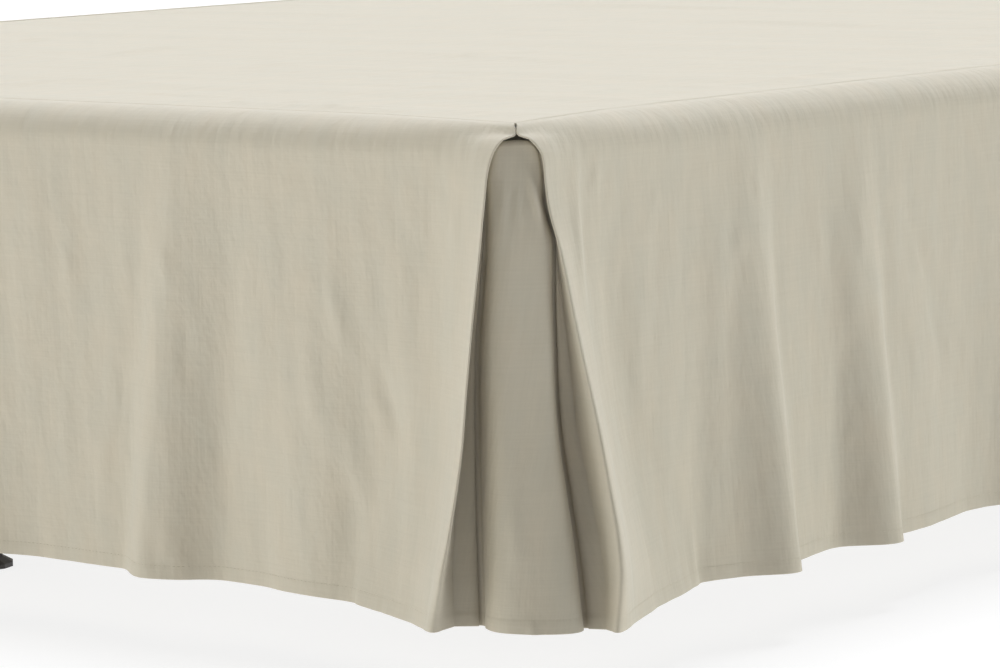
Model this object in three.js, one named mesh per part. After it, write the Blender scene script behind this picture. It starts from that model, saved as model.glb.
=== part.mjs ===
// A tailored bed skirt for a queen bed, lying on a plain bed base with its legs.
// Millimetres, +Z up. The foot end of the bed is at -Y, the head end at +Y.
// The origin is on the floor, under the middle of the whole part.
//
// The skirt is sewn from six pieces of linen: a flat deck, one drop at the foot,
// one drop along each side, and one insert inside the pleat at each foot corner.
// Each piece is a closed sheet of real thickness, made from a middle surface.

import * as THREE from 'three';

// ---- driving dimensions ----
const SKIRT_WIDTH = 1524;
const SKIRT_LENGTH = 2032;
const DROP = 381;
const HEM_GAP = 56;
const CLOTH = 2;
const PIECE_GAP = 0.3;
const TOP = HEM_GAP + DROP;

// the rounded top edge that the drops fall over
const EDGE_RADIUS = 28;
const SEAM_INSET = 38;
const CORNER_SEAM_INSET = 14;
const SEAM_SWEEP = 150;
const DECK_SEAM_GAP = 0.7;
const DECK_HEAD_INSET = 34;
const HEAD_END_INSET = 8;

// the bed base under the cloth
const BASE_INSET = 6;
const BASE_EDGE_RADIUS = 30;
const BASE_CORNER_RADIUS = 36;
const BASE_BOTTOM = 205;
const LEG_RADIUS = 19;
const SIDE_LEG_SETBACK = 215;
const SIDE_LEG_END_SETBACK = 250;
const MIDDLE_LEG_END_SETBACK = 170;
const GLIDE_HEIGHT = 30;
const GLIDE_RADIUS = 28;
const GLIDE_NECK_RADIUS = 17;
const ROUND_SIDES = 12;

// the pleat at a foot corner
const TURN_SETBACK = 5;
const MAX_SETBACK_PART = 0.45;
const TURN_SOFTNESS = 0.35;
const FLARE_REACH_TOP = 60;
const FLARE_GROWTH = 60;
const FLARE_CURVE = 1.45;
const DISH = 4;
const DISH_AT = 80;
const DISH_WIDTH = 110;
const TOP_BLEND = 60;
const RETURN_CLEAR = 3.3;
const VALLEY_TOP = 23;
const VALLEY_PAST = 3;
const VALLEY_SLOPE = 6;
const SLOPE_TOP = 20;
const SLOPE_RUN = 40;
const RETURN_SIDE = 3.2;
const RETURN_PAST = 1.5;
const INSERT_LAP = 58;
const INSERT_BEHIND = 2.8;
const LAP_FOLLOWS = 0.5;
const LAP_TOP = 34;
const INSERT_BULGE = 3;

const HALF_WIDTH = SKIRT_WIDTH / 2;
const HALF_LENGTH = SKIRT_LENGTH / 2;

// Rows of a drop, from its seam on the deck down to the hem.
// inset, sink: a plain stretch of cloth, inward from the face and down from the deck.
// drop: the pleat's fold edge, down from the deck. footAlong and footOut: where it lies
// on the foot drop, along the panel from the bed's corner and outward from its face.
// sideAlong and sideOut: the same on a side drop.
const roundInset = (degrees) => EDGE_RADIUS * (1 - Math.sin(THREE.MathUtils.degToRad(degrees)));
const roundSink = (degrees) => EDGE_RADIUS * (1 - Math.cos(THREE.MathUtils.degToRad(degrees)));
const plainRow = (sink) => ({ inset: 0, sink, drop: sink });
const DROP_ROWS = [
  { inset: SEAM_INSET, sink: 0, drop: 0, footAlong: 15, footOut: -14, sideAlong: 15, sideOut: -14 },
  { inset: EDGE_RADIUS, sink: 0, drop: 1.2, footAlong: 11.5, footOut: -10.5, sideAlong: 11.5, sideOut: -10.5 },
  {
    inset: roundInset(38), sink: roundSink(38), drop: 7.5,
    footAlong: 7.9, footOut: -6.9, sideAlong: 6.9, sideOut: -5.9,
  },
  {
    inset: roundInset(60), sink: roundSink(60), drop: 10.8,
    footAlong: 12.5, footOut: 2, sideAlong: 11.5, sideOut: 1,
  },
  {
    inset: roundInset(74), sink: roundSink(74), drop: 16.5,
    footAlong: 16, footOut: 6.7, sideAlong: 15.5, sideOut: 5,
  },
  { inset: 0, sink: EDGE_RADIUS, drop: 25, footAlong: 18.5, footOut: 10.2, sideAlong: 18.5, sideOut: 8.5 },
  { ...plainRow(40), footAlong: 20, footOut: 14.2, sideAlong: 20, sideOut: 9 },
  { ...plainRow(56), footAlong: 20, footOut: 17.2, sideAlong: 20, sideOut: 11.1 },
  { ...plainRow(95), footAlong: 20, footOut: 24.3, sideAlong: 20, sideOut: 22.7 },
  { ...plainRow(145), footAlong: 20, footOut: 34, sideAlong: 20, sideOut: 35 },
  { ...plainRow(205), footAlong: 20, footOut: 44.2, sideAlong: 20, sideOut: 50.8 },
  { ...plainRow(239), footAlong: 20, footOut: 49.2, sideAlong: 18, sideOut: 61.2 },
  { ...plainRow(274), footAlong: 20, footOut: 57.4, sideAlong: 15, sideOut: 71 },
  { ...plainRow(312), footAlong: 21, footOut: 67.8, sideAlong: 10, sideOut: 82.5 },
  { ...plainRow(343), footAlong: 24, footOut: 74.7, sideAlong: 6, sideOut: 87.8 },
  { ...plainRow(DROP), footAlong: 32, footOut: 76.5, sideAlong: 2, sideOut: 86.8 },
];
const FIRST_RETURN_ROW = 3;

// The insert in a pleat, by its depth below the deck.
// front: where it stands on the corner's diagonal, inward positive. Its two halves are
// named for the drop that each lies behind. Half: half the front's width.
// Valley: the valley's depth behind the front. Show: how much of the return shows.
const station = (drop, front, foot, side) => ({
  drop,
  front,
  footHalf: foot[0],
  footValley: foot[1],
  footShow: foot[2],
  sideHalf: side[0],
  sideValley: side[1],
  sideShow: side[2],
});
const INSERT_STATIONS = [
  station(7.5, 18, [12.5, 1.5, -1.5], [12, 1.5, -1.5]),
  station(28, 15.5, [17.8, 3, -1.5], [16.8, 3, -1.5]),
  station(42, 13.5, [20.6, 6, -1], [18, 5, -1]),
  station(56, 11, [20.8, 10, -1], [17.6, 8, -1]),
  station(70, 8, [21, 13, -1], [20, 11, -0.5]),
  station(90, 4.2, [21.7, 16, -0.5], [24.3, 14, 1]),
  station(135, -2, [25, 19, 0], [23.1, 19, 4]),
  station(169, -6.6, [27.7, 21, 0.5], [23.3, 22, 7]),
  station(205, -11.5, [28.8, 23.5, 1], [23.7, 25, 12]),
  station(235, -16.6, [29.3, 25, 2.5], [25, 24, 16.5]),
  station(285, -26.7, [30.4, 26, 7], [29.6, 22, 16]),
  station(327, -35.6, [31, 23, 15], [33.3, 17, 14]),
  station(DROP, -47, [31.8, 16, 29], [36.2, 11.5, 8]),
];
const INSERT_FRACTIONS = [0, 0.045, 0.09, 0.135, 0.2, 0.32, 0.42, 0.52, 0.61, 0.74, 0.86, 1];

// Columns of an insert, named from the hidden lap behind the foot drop to its middle.
// across: part of the half width; back: part of the valley's depth;
// proud: part of the front's bulge; top: where the column starts below the deck.
const INSERT_COLUMNS = [
  { name: 'valley', across: 1.1, back: 1, proud: 0, top: 21 },
  { name: 'flank', across: 1.04, back: 0.6, proud: 0, top: 18 },
  { name: 'shoulder', across: 0.94, back: 0.25, proud: 0.1, top: 15.5 },
  { name: 'edge', across: 0.74, back: 0.06, proud: 0.4, top: 13.2 },
  { name: 'half', across: 0.42, back: 0, proud: 0.8, top: 12.6 },
];

const MIDDLE_COLUMN = { name: 'middle', across: 0, back: 0, proud: 1, top: 12.2 };

// Folds of the drops. at: along the panel; rise and fall: half the fold's width before
// and past it; out: how far it stands off the face at the hem; start: the part of the
// drop where it begins; drift: how far it wanders along the panel on its way down.
const fold = (at, rise, fall, out, start, drift) => ({ at, rise, fall, out, start, drift });
const FOOT_FOLDS = [
  fold(236, 40, 62, 6, 0.05, 12),
  fold(296, 80, 50, -11, 0.1, 20),
  fold(344, 48, 62, 19, 0, 46),
  fold(500, 50, 50, -2, 0.2, 0),
  fold(622, 84, 70, 11, 0.1, -14),
  fold(765, 90, 90, -7, 0.2, 0),
  fold(894, 52, 74, 13, 0.12, 10),
  fold(1020, 88, 88, -8, 0.2, 0),
  fold(1136, 66, 50, 11, 0.05, -12),
  fold(1248, 74, 74, -6, 0.15, 0),
];
const RIGHT_FOLDS = [
  fold(205, 60, 60, -3, 0.2, 0),
  fold(312, 56, 44, 22, 0.05, -12),
  fold(300, 90, 90, 7, 0.05, -10),
  fold(392, 46, 46, -8, 0.2, 0),
  fold(462, 48, 42, 17, 0.08, 8),
  fold(556, 70, 70, -5, 0.2, 0),
  fold(690, 78, 78, 7, 0.15, -10),
  fold(835, 84, 56, 17, 0.05, 14),
  fold(950, 76, 76, -6, 0.2, 0),
  fold(1085, 70, 90, 15, 0.12, -12),
  fold(1245, 88, 88, -7, 0.2, 0),
  fold(1385, 80, 60, 17, 0.08, 12),
  fold(1530, 84, 84, -5, 0.2, 0),
  fold(1680, 66, 88, 15, 0.1, -14),
  fold(1850, 78, 78, 9, 0.1, 10),
];
const LEFT_FOLDS = [
  fold(240, 66, 66, -4, 0.2, 0),
  fold(345, 66, 84, 19, 0.08, 12),
  fold(478, 70, 70, -6, 0.2, 0),
  fold(604, 78, 58, 16, 0.12, -10),
  fold(760, 84, 84, 6, 0.15, 0),
  fold(905, 60, 80, 17, 0.06, 14),
  fold(1060, 84, 84, -7, 0.2, 0),
  fold(1205, 84, 64, 14, 0.1, -12),
  fold(1370, 82, 82, -5, 0.2, 0),
  fold(1500, 58, 74, 18, 0.08, 10),
  fold(1660, 84, 84, -6, 0.2, 0),
  fold(1820, 80, 80, 13, 0.1, -10),
];

// How each panel meets a pleat. lift: its fold edge's standing-out against the table;
// sweep: how far the edge wanders along the panel from the middle of the drop to the
// hem; reach: how much further its flare reaches at the hem.
const RIGHT_CORNER = {
  foot: { name: 'foot', lift: 1, sweep: 0, reach: 65 },
  side: { name: 'side', lift: 1, sweep: 0, reach: 110 },
  turn: 0.25,
};
const LEFT_CORNER = {
  foot: { name: 'foot', lift: 1.05, sweep: -12, reach: 70 },
  side: { name: 'side', lift: 0.95, sweep: 4, reach: 85 },
  turn: -0.12,
};

// A panel's own frame: s along its top edge from a foot corner, out from its face.
// place gives the part's own X and Y from them.
const PANELS = {
  foot: {
    length: SKIRT_WIDTH,
    folds: FOOT_FOLDS,
    lean: 1,
    start: RIGHT_CORNER.foot,
    end: LEFT_CORNER.foot,
    place: (s, out) => [HALF_WIDTH - s, -HALF_LENGTH - out],
  },
  right: {
    length: SKIRT_LENGTH - HEAD_END_INSET,
    folds: RIGHT_FOLDS,
    lean: 20,
    start: RIGHT_CORNER.side,
    end: null,
    place: (s, out) => [HALF_WIDTH + out, -HALF_LENGTH + s],
  },
  left: {
    length: SKIRT_LENGTH - HEAD_END_INSET,
    folds: LEFT_FOLDS,
    lean: 14,
    start: LEFT_CORNER.side,
    end: null,
    place: (s, out) => [-HALF_WIDTH - out, -HALF_LENGTH + s],
  },
};

// Column places of a drop near a pleat, as a part of the near zone, then the zone's
// length and the spacing of the columns past it.
const NEAR_PARTS = [0.16, 0.32, 0.5, 0.72];
const NEAR_ZONE = 80;
const CORNER_STEP = 17;
const CORNER_ZONE = CORNER_SEAM_INSET + SEAM_SWEEP;
const PLAIN_STEP = 34;

// ---- small shared rules ----
const mix = (a, b, part) => a + (b - a) * part;
const clamp01 = (value) => Math.min(1, Math.max(0, value));
const fade = (part) => (part >= 1 ? 0 : (1 + Math.cos(Math.PI * Math.max(0, part))) / 2);

// How far the seam lies inside the face, at a distance from the nearest pleat.
function seamInset(fromPleat) {
  return mix(CORNER_SEAM_INSET, SEAM_INSET, clamp01((fromPleat - CORNER_SEAM_INSET) / SEAM_SWEEP));
}

// The inset of one row of plain cloth: near a pleat the rows draw out with the seam.
function rowInset(row, fromPleat) {
  return row.inset * seamInset(fromPleat) / SEAM_INSET;
}

function foldOut(panel, s, fall) {
  let out = panel.lean * fall;
  for (const each of panel.folds) {
    const growth = clamp01((fall - each.start) / (1 - each.start));
    const past = s - each.at - each.drift * fall;
    out += each.out * growth * fade(Math.abs(past) / (past < 0 ? each.rise : each.fall));
  }
  return out;
}

// The fold edge of a pleat on one row of a panel, in the panel's own frame.
function foldEdge(row, side) {
  const fall = row.drop / DROP;
  const lower = clamp01((fall - 0.5) / 0.5);
  const out = row[`${side.name}Out`];
  return {
    s: row[`${side.name}Along`] + side.sweep * lower * lower,
    out: out > 0 ? out * side.lift : out,
    drop: row.drop,
  };
}

// The flare of a panel towards one pleat: what it adds to a plain point of the panel.
function flare(row, side, distance, lean) {
  const edge = foldEdge(row, side);
  const fall = row.drop / DROP;
  const reach = FLARE_REACH_TOP + FLARE_GROWTH * fall + side.reach * fall ** 4;
  const past = distance - edge.s;
  const lift = edge.out + rowInset(row, edge.s) - lean * fall;
  const dishShape = fade(Math.abs(past - DISH_AT) / DISH_WIDTH) * clamp01(past / DISH_AT);
  return {
    out: lift * (1 - clamp01(past / reach)) ** FLARE_CURVE - DISH * 4 * fall * (1 - fall) * dishShape,
    sink: (edge.drop - row.sink) * fade(past / TOP_BLEND),
  };
}

// A point of a drop's middle surface.
function dropPoint(panel, row, s) {
  const fromEnd = panel.length - s;
  const inset = rowInset(row, panel.end ? Math.min(s, fromEnd) : s);
  const near = flare(row, panel.start, s, panel.lean);
  const far = panel.end ? flare(row, panel.end, fromEnd, panel.lean) : { out: 0, sink: 0 };
  const out = foldOut(panel, s, row.sink / DROP) - inset + near.out + far.out;
  const [x, y] = panel.place(s, out);
  return new THREE.Vector3(x, y, TOP - row.sink - near.sink - far.sink);
}

// Places along one row of a panel, from the pleat at its start to its other end.
function columnPlaces(panel, row) {
  const startEdge = foldEdge(row, panel.start).s;
  const places = [startEdge + TURN_SETBACK];
  for (const part of NEAR_PARTS) {
    places.push(mix(startEdge + TURN_SETBACK, NEAR_ZONE, part));
  }
  const plainEnd = panel.end ? panel.length - CORNER_ZONE : panel.length;
  for (let s = NEAR_ZONE; s < CORNER_ZONE - 1; s += CORNER_STEP) {
    places.push(s);
  }
  const plainCount = Math.round((plainEnd - CORNER_ZONE) / PLAIN_STEP);
  for (let i = 0; i <= plainCount; i += 1) {
    places.push(mix(CORNER_ZONE, plainEnd, i / plainCount));
  }
  if (panel.end) {
    const endEdge = foldEdge(row, panel.end).s;
    for (let s = CORNER_ZONE - CORNER_STEP; s > NEAR_ZONE - 1; s -= CORNER_STEP) {
      places.push(panel.length - s);
    }
    for (const part of [...NEAR_PARTS].reverse()) {
      places.push(panel.length - mix(endEdge + TURN_SETBACK, NEAR_ZONE, part));
    }
    places.push(panel.length - endEdge - TURN_SETBACK);
  }
  return places;
}

// Sizes at any depth below the deck, from a table whose rows name their drop.
function sizesAt(table, drop) {
  const last = table.length - 1;
  let i = 0;
  while (i < last - 1 && table[i + 1].drop < drop) {
    i += 1;
  }
  const low = table[i];
  const high = table[i + 1];
  const part = clamp01((drop - low.drop) / (high.drop - low.drop));
  return Object.fromEntries(Object.keys(low).map((key) => [key, mix(low[key], high[key], part)]));
}

// From the corner's diagonal frame to distances along the two faces.
function fromDiagonal(across, inward) {
  return { alongFoot: (inward - across) * Math.SQRT1_2, alongSide: (inward + across) * Math.SQRT1_2 };
}

// How far from the diagonal a drop's free edge ends behind its fold.
function returnAcross(row, side) {
  const edge = foldEdge(row, side);
  const edgeAcross = (edge.s + edge.out) * Math.SQRT1_2;
  const sizes = sizesAt(INSERT_STATIONS, row.drop);
  const clear = INSERT_COLUMNS[0].across * sizes[`${side.name}Half`] + RETURN_SIDE;
  return Math.min(Math.max(edgeAcross - sizes[`${side.name}Show`], clear), edgeAcross + RETURN_PAST);
}

// How much further in the valley's far side lies than its near side.
function valleySlope(drop) {
  return VALLEY_SLOPE * (1 - drop / DROP) * clamp01((drop - SLOPE_TOP) / SLOPE_RUN);
}

// The valley's floor behind one drop: how far inward it lies at a place across it.
function valleyFloor(drop, side, across, corner) {
  const sizes = sizesAt(INSERT_STATIONS, drop);
  return sizes.front + sizes[`${side.name}Valley`] - corner.turn * across * drop / DROP;
}

// Where a return's free edge ends, in the frame of its panel.
function returnEnd(row, side, corner) {
  const sign = side.name === 'foot' ? -1 : 1;
  const across = sign * returnAcross(row, side);
  const inward = valleyFloor(row.drop, side, across, corner) - RETURN_CLEAR + valleySlope(row.drop) / 2;
  const { alongFoot, alongSide } = fromDiagonal(across, inward);
  if (sign < 0) {
    return { s: alongFoot, out: -alongSide };
  }
  return { s: alongSide, out: -alongFoot };
}

// ---- sheets ----

// A closed sheet of cloth from a middle surface: its points, its triangles and a thickness.
function sheetGeometry(points, triangles) {
  const normals = points.map(() => new THREE.Vector3());
  const edgeUse = new Map();
  for (const [a, b, c] of triangles) {
    const ab = points[b].clone().sub(points[a]);
    const ac = points[c].clone().sub(points[a]);
    const normal = ab.cross(ac);
    for (const index of [a, b, c]) {
      normals[index].add(normal);
    }
    for (const [from, to] of [[a, b], [b, c], [c, a]]) {
      edgeUse.set(`${from}_${to}`, [from, to]);
    }
  }
  const count = points.length;
  const positions = [];
  for (const side of [1, -1]) {
    points.forEach((point, index) => {
      const shift = normals[index].clone().normalize().multiplyScalar(side * CLOTH / 2);
      positions.push(...point.clone().add(shift).toArray());
    });
  }
  const indices = [];
  for (const [a, b, c] of triangles) {
    indices.push(a, b, c);
    indices.push(a + count, c + count, b + count);
  }
  for (const [from, to] of edgeUse.values()) {
    if (!edgeUse.has(`${to}_${from}`)) {
      indices.push(to, from, from + count);
      indices.push(to, from + count, to + count);
    }
  }
  const geometry = new THREE.BufferGeometry();
  geometry.setAttribute('position', new THREE.Float32BufferAttribute(positions, 3));
  geometry.setIndex(indices);
  return geometry;
}

// Collects rows of points into one middle surface.
class Sheet {
  constructor() {
    this.points = [];
    this.triangles = [];
  }

  add(point) {
    this.points.push(point);
    return this.points.length - 1;
  }

  // rows: lists of point numbers, all of one length
  fill(rows) {
    for (let j = 0; j + 1 < rows.length; j += 1) {
      for (let i = 0; i + 1 < rows[j].length; i += 1) {
        const [a, b, c, d] = [rows[j][i], rows[j][i + 1], rows[j + 1][i + 1], rows[j + 1][i]];
        this.triangles.push([a, b, c], [a, c, d]);
      }
    }
  }

  geometry() {
    return sheetGeometry(this.points, this.triangles);
  }
}

// The turned edge of a panel: a soft corner, then the return that runs back to the valley.
// side is the panel's end at this pleat, and panelS turns a distance from the pleat into
// the panel's own s.
function addReturn(sheet, panel, side, corner, panelS) {
  const edges = [];
  const strips = [];
  DROP_ROWS.forEach((row, j) => {
    const edge = foldEdge(row, side);
    const z = TOP - edge.drop;
    const put = (s, out) => {
      const [x, y] = panel.place(panelS(s), out);
      return sheet.add(new THREE.Vector3(x, y, z));
    };
    if (j < FIRST_RETURN_ROW) {
      edges.push(put(edge.s, edge.out));
      return;
    }
    const end = returnEnd(row, side, corner);
    const length = Math.hypot(end.s - edge.s, end.out - edge.out);
    const setback = Math.min(TURN_SETBACK, MAX_SETBACK_PART * length) / length;
    const back = { s: mix(edge.s, end.s, setback), out: mix(edge.out, end.out, setback) };
    const turn = put(
      mix(edge.s, (back.s + edge.s + TURN_SETBACK) / 2, TURN_SOFTNESS),
      mix(edge.out, (back.out + edge.out) / 2, TURN_SOFTNESS),
    );
    edges.push(turn);
    strips.push([
      turn,
      put(back.s, back.out),
      put(mix(back.s, end.s, 0.5), mix(back.out, end.out, 0.5)),
      put(end.s, end.out),
    ]);
  });
  return { edges, strips };
}

function dropSheet(panel, startCorner, endCorner) {
  const sheet = new Sheet();
  const start = addReturn(sheet, panel, panel.start, startCorner, (s) => s);
  const end = panel.end
    ? addReturn(sheet, panel, panel.end, endCorner, (s) => panel.length - s)
    : null;
  const rows = DROP_ROWS.map((row, j) => {
    const places = columnPlaces(panel, row);
    const line = places.map((s) => sheet.add(dropPoint(panel, row, s)));
    return [start.edges[j], ...line, ...(end ? [end.edges[j]] : [])];
  });
  sheet.fill(rows);
  sheet.fill(start.strips.map((strip) => [...strip].reverse()));
  if (end) {
    sheet.fill(end.strips);
  }
  return sheet.geometry();
}

// The insert behind a pleat. Its front stands between the two returns, its valleys lie
// behind their free edges, and its laps reach flat behind the two drops.
function insertSheet(corner, footPanel, sidePanel, place) {
  const sheet = new Sheet();
  const lapEnd = (panel, side, drop) => {
    const flared = flare(sizesAt(DROP_ROWS, drop), side, INSERT_LAP, panel.lean).out
      + foldOut(panel, INSERT_LAP, drop / DROP);
    return { s: INSERT_LAP, out: LAP_FOLLOWS * Math.max(0, flared) - INSERT_BEHIND };
  };

  const column = (top, at) => INSERT_FRACTIONS.map((part) => {
    const drop = mix(top, DROP, part);
    const { alongFoot, alongSide } = at(drop);
    const [x, y] = place(alongFoot, alongSide);
    return sheet.add(new THREE.Vector3(x, y, TOP - drop));
  });

  const shaped = (shape, side) => column(shape.top, (drop) => {
    const sizes = sizesAt(INSERT_STATIONS, drop);
    const sign = side.name === 'foot' ? -1 : 1;
    const across = sign * shape.across * sizes[`${side.name}Half`];
    const back = shape.back * sizes[`${side.name}Valley`] - shape.proud * INSERT_BULGE * drop / DROP;
    return fromDiagonal(across, sizes.front + back - corner.turn * across * drop / DROP);
  });

  // from the valley's far side, at part 0, to the end of the lap, at part 1
  const lapColumn = (panel, side, part) => column(mix(VALLEY_TOP, LAP_TOP, part), (drop) => {
    const sign = side.name === 'foot' ? -1 : 1;
    const across = sign * (returnAcross(sizesAt(DROP_ROWS, drop), side) + VALLEY_PAST);
    const valley = fromDiagonal(across, valleyFloor(drop, side, across, corner) + valleySlope(drop));
    const lap = lapEnd(panel, side, drop);
    const end = sign < 0
      ? { alongFoot: lap.s, alongSide: -lap.out }
      : { alongFoot: -lap.out, alongSide: lap.s };
    return {
      alongFoot: mix(valley.alongFoot, end.alongFoot, part),
      alongSide: mix(valley.alongSide, end.alongSide, part),
    };
  });

  const half = (panel, side) => [
    ...[1, 0.5, 0].map((part) => lapColumn(panel, side, part)),
    ...INSERT_COLUMNS.map((shape) => shaped(shape, side)),
  ];
  const columns = [
    ...half(footPanel, corner.foot),
    shaped(MIDDLE_COLUMN, corner.side),
    ...half(sidePanel, corner.side).reverse(),
  ];
  const rows = INSERT_FRACTIONS.map((_, j) => columns.map((points) => points[j]));
  sheet.fill(rows);
  return sheet.geometry();
}

// The deck: one flat sheet inside the seams, open to the head end.
function deckSheet() {
  const sheet = new Sheet();
  const cornerPlace = CORNER_SEAM_INSET + DECK_SEAM_GAP;
  const headY = HALF_LENGTH - DECK_HEAD_INSET;
  const sweepPart = (SEAM_SWEEP - DECK_SEAM_GAP) / (SKIRT_WIDTH - 2 * cornerPlace);
  const sweepAlong = (SEAM_SWEEP - DECK_SEAM_GAP) / (SKIRT_LENGTH - DECK_HEAD_INSET - cornerPlace);
  const acrossParts = [0, sweepPart, 0.2, 0.35, 0.5, 0.65, 0.8, 1 - sweepPart, 1];
  const alongParts = [0, sweepAlong, 0.2, 0.35, 0.5, 0.68, 0.85, 1];
  const footEdge = (part) => {
    const s = mix(SKIRT_WIDTH - cornerPlace, cornerPlace, part);
    const edge = seamInset(Math.min(s, SKIRT_WIDTH - s)) + DECK_SEAM_GAP;
    return new THREE.Vector2(HALF_WIDTH - s, -HALF_LENGTH + edge);
  };
  const sideEdge = (part, side) => {
    const t = mix(cornerPlace, SKIRT_LENGTH - DECK_HEAD_INSET, part);
    return new THREE.Vector2(side * (HALF_WIDTH - seamInset(t) - DECK_SEAM_GAP), -HALF_LENGTH + t);
  };
  const rows = alongParts.map((along) => acrossParts.map((across) => {
    const foot = footEdge(across);
    const left = sideEdge(along, -1);
    const right = sideEdge(along, 1);
    const head = new THREE.Vector2(mix(sideEdge(1, -1).x, sideEdge(1, 1).x, across), headY);
    const corners = new THREE.Vector2(
      mix(mix(footEdge(0).x, footEdge(1).x, across), head.x, along),
      mix(mix(footEdge(0).y, footEdge(1).y, across), head.y, along),
    );
    const x = mix(foot.x, head.x, along) + mix(left.x, right.x, across) - corners.x;
    const y = mix(foot.y, head.y, along) + mix(left.y, right.y, across) - corners.y;
    return sheet.add(new THREE.Vector3(x, y, TOP));
  }));
  sheet.fill(rows);
  return sheet.geometry();
}

// ---- the bed base ----
function baseGeometry() {
  const halfX = HALF_WIDTH - BASE_INSET;
  const halfY = HALF_LENGTH - BASE_INSET;
  const r = BASE_CORNER_RADIUS;
  const outline = new THREE.Shape();
  outline.moveTo(-halfX + r, -halfY);
  outline.lineTo(halfX - r, -halfY);
  outline.absarc(halfX - r, -halfY + r, r, -Math.PI / 2, 0);
  outline.lineTo(halfX, halfY - r);
  outline.absarc(halfX - r, halfY - r, r, 0, Math.PI / 2);
  outline.lineTo(-halfX + r, halfY);
  outline.absarc(-halfX + r, halfY - r, r, Math.PI / 2, Math.PI);
  outline.lineTo(-halfX, -halfY + r);
  outline.absarc(-halfX + r, -halfY + r, r, Math.PI, 1.5 * Math.PI);
  const top = TOP - CLOTH / 2 - PIECE_GAP;
  const geometry = new THREE.ExtrudeGeometry(outline, {
    depth: top - BASE_BOTTOM - 2 * BASE_EDGE_RADIUS,
    curveSegments: 4,
    bevelEnabled: true,
    bevelSize: BASE_EDGE_RADIUS,
    bevelThickness: BASE_EDGE_RADIUS,
    bevelOffset: -BASE_EDGE_RADIUS,
    bevelSegments: 3,
  });
  geometry.translate(0, 0, BASE_BOTTOM + BASE_EDGE_RADIUS);
  return geometry;
}

function glideGeometry() {
  const profile = [
    new THREE.Vector2(0, 0),
    new THREE.Vector2(GLIDE_RADIUS, 0),
    new THREE.Vector2(GLIDE_RADIUS, 4),
    new THREE.Vector2(GLIDE_NECK_RADIUS + 2, 9),
    new THREE.Vector2(GLIDE_NECK_RADIUS, 14),
    new THREE.Vector2(GLIDE_NECK_RADIUS, GLIDE_HEIGHT),
    new THREE.Vector2(0, GLIDE_HEIGHT),
  ];
  const geometry = new THREE.LatheGeometry(profile, ROUND_SIDES);
  geometry.rotateX(Math.PI / 2);
  return geometry;
}

function legGeometry() {
  const height = BASE_BOTTOM - GLIDE_HEIGHT - 2 * PIECE_GAP;
  const geometry = new THREE.CylinderGeometry(LEG_RADIUS, LEG_RADIUS, height, ROUND_SIDES);
  geometry.rotateX(Math.PI / 2);
  geometry.translate(0, 0, GLIDE_HEIGHT + PIECE_GAP + height / 2);
  return geometry;
}

// ---- materials ----
function finish(color, roughness, metalness = 0) {
  return new THREE.MeshStandardMaterial({ color, roughness, metalness });
}

const LINEN_DECK = '#dcd8ca';
const LINEN_DROP = '#cfc8b4';
const LINEN_INSERT = '#c4bda8';

// ---- the part ----
const part = new THREE.Group();

function addMesh(name, geometry, material, x = 0, y = 0) {
  const mesh = new THREE.Mesh(geometry, material);
  mesh.name = name;
  mesh.position.set(x, y, 0);
  part.add(mesh);
}

addMesh('deck', deckSheet(), finish(LINEN_DECK, 0.9));
addMesh('foot_drop', dropSheet(PANELS.foot, RIGHT_CORNER, LEFT_CORNER), finish(LINEN_DROP, 0.9));
addMesh('side_drop_right', dropSheet(PANELS.right, RIGHT_CORNER, null), finish(LINEN_DROP, 0.9));
addMesh('side_drop_left', dropSheet(PANELS.left, LEFT_CORNER, null), finish(LINEN_DROP, 0.9));
addMesh(
  'corner_insert_right',
  insertSheet(RIGHT_CORNER, PANELS.foot, PANELS.right, (foot, side) => [HALF_WIDTH - foot, -HALF_LENGTH + side]),
  finish(LINEN_INSERT, 0.9),
);
addMesh(
  'corner_insert_left',
  insertSheet(LEFT_CORNER, PANELS.foot, PANELS.left, (foot, side) => [-HALF_WIDTH + foot, -HALF_LENGTH + side]),
  finish(LINEN_INSERT, 0.9),
);
addMesh('bed_base', baseGeometry(), finish('#d9d5cc', 0.85));

const legColumns = { left: -1, middle: 0, right: 1 };
const legRows = { foot: -1, centre: 0, head: 1 };
for (const [columnName, column] of Object.entries(legColumns)) {
  const endSetback = column === 0 ? MIDDLE_LEG_END_SETBACK : SIDE_LEG_END_SETBACK;
  for (const [rowName, row] of Object.entries(legRows)) {
    const x = column * (HALF_WIDTH - SIDE_LEG_SETBACK);
    const y = row * (HALF_LENGTH - endSetback);
    addMesh(`leg_${rowName}_${columnName}`, legGeometry(), finish('#4a4038', 0.6), x, y);
    addMesh(`glide_${rowName}_${columnName}`, glideGeometry(), finish('#241c18', 0.45), x, y);
  }
}

// Bring the middle of the whole part over the origin, with the floor at zero.
const box = new THREE.Box3().setFromObject(part);
part.position.set(-(box.min.x + box.max.x) / 2, -(box.min.y + box.max.y) / 2, -box.min.z);

export default part;
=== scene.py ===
# %% [markdown]
# # A tailored linen bed skirt on its base
# A bed skirt lies on the bed base, under the mattress, and falls to just above the floor
# on three sides. This one is sewn from a flat deck, one drop at the foot, one drop along
# each side, and an insert behind the pleat at each foot corner.
# The lesson makes the cloth again as thin, smooth sheets on the lines of the packed
# model, then gives it a woven linen finish, a floor, light and a camera.

import math
from collections import namedtuple

import bpy
import numpy as np
from mathutils import Matrix, Vector


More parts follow.
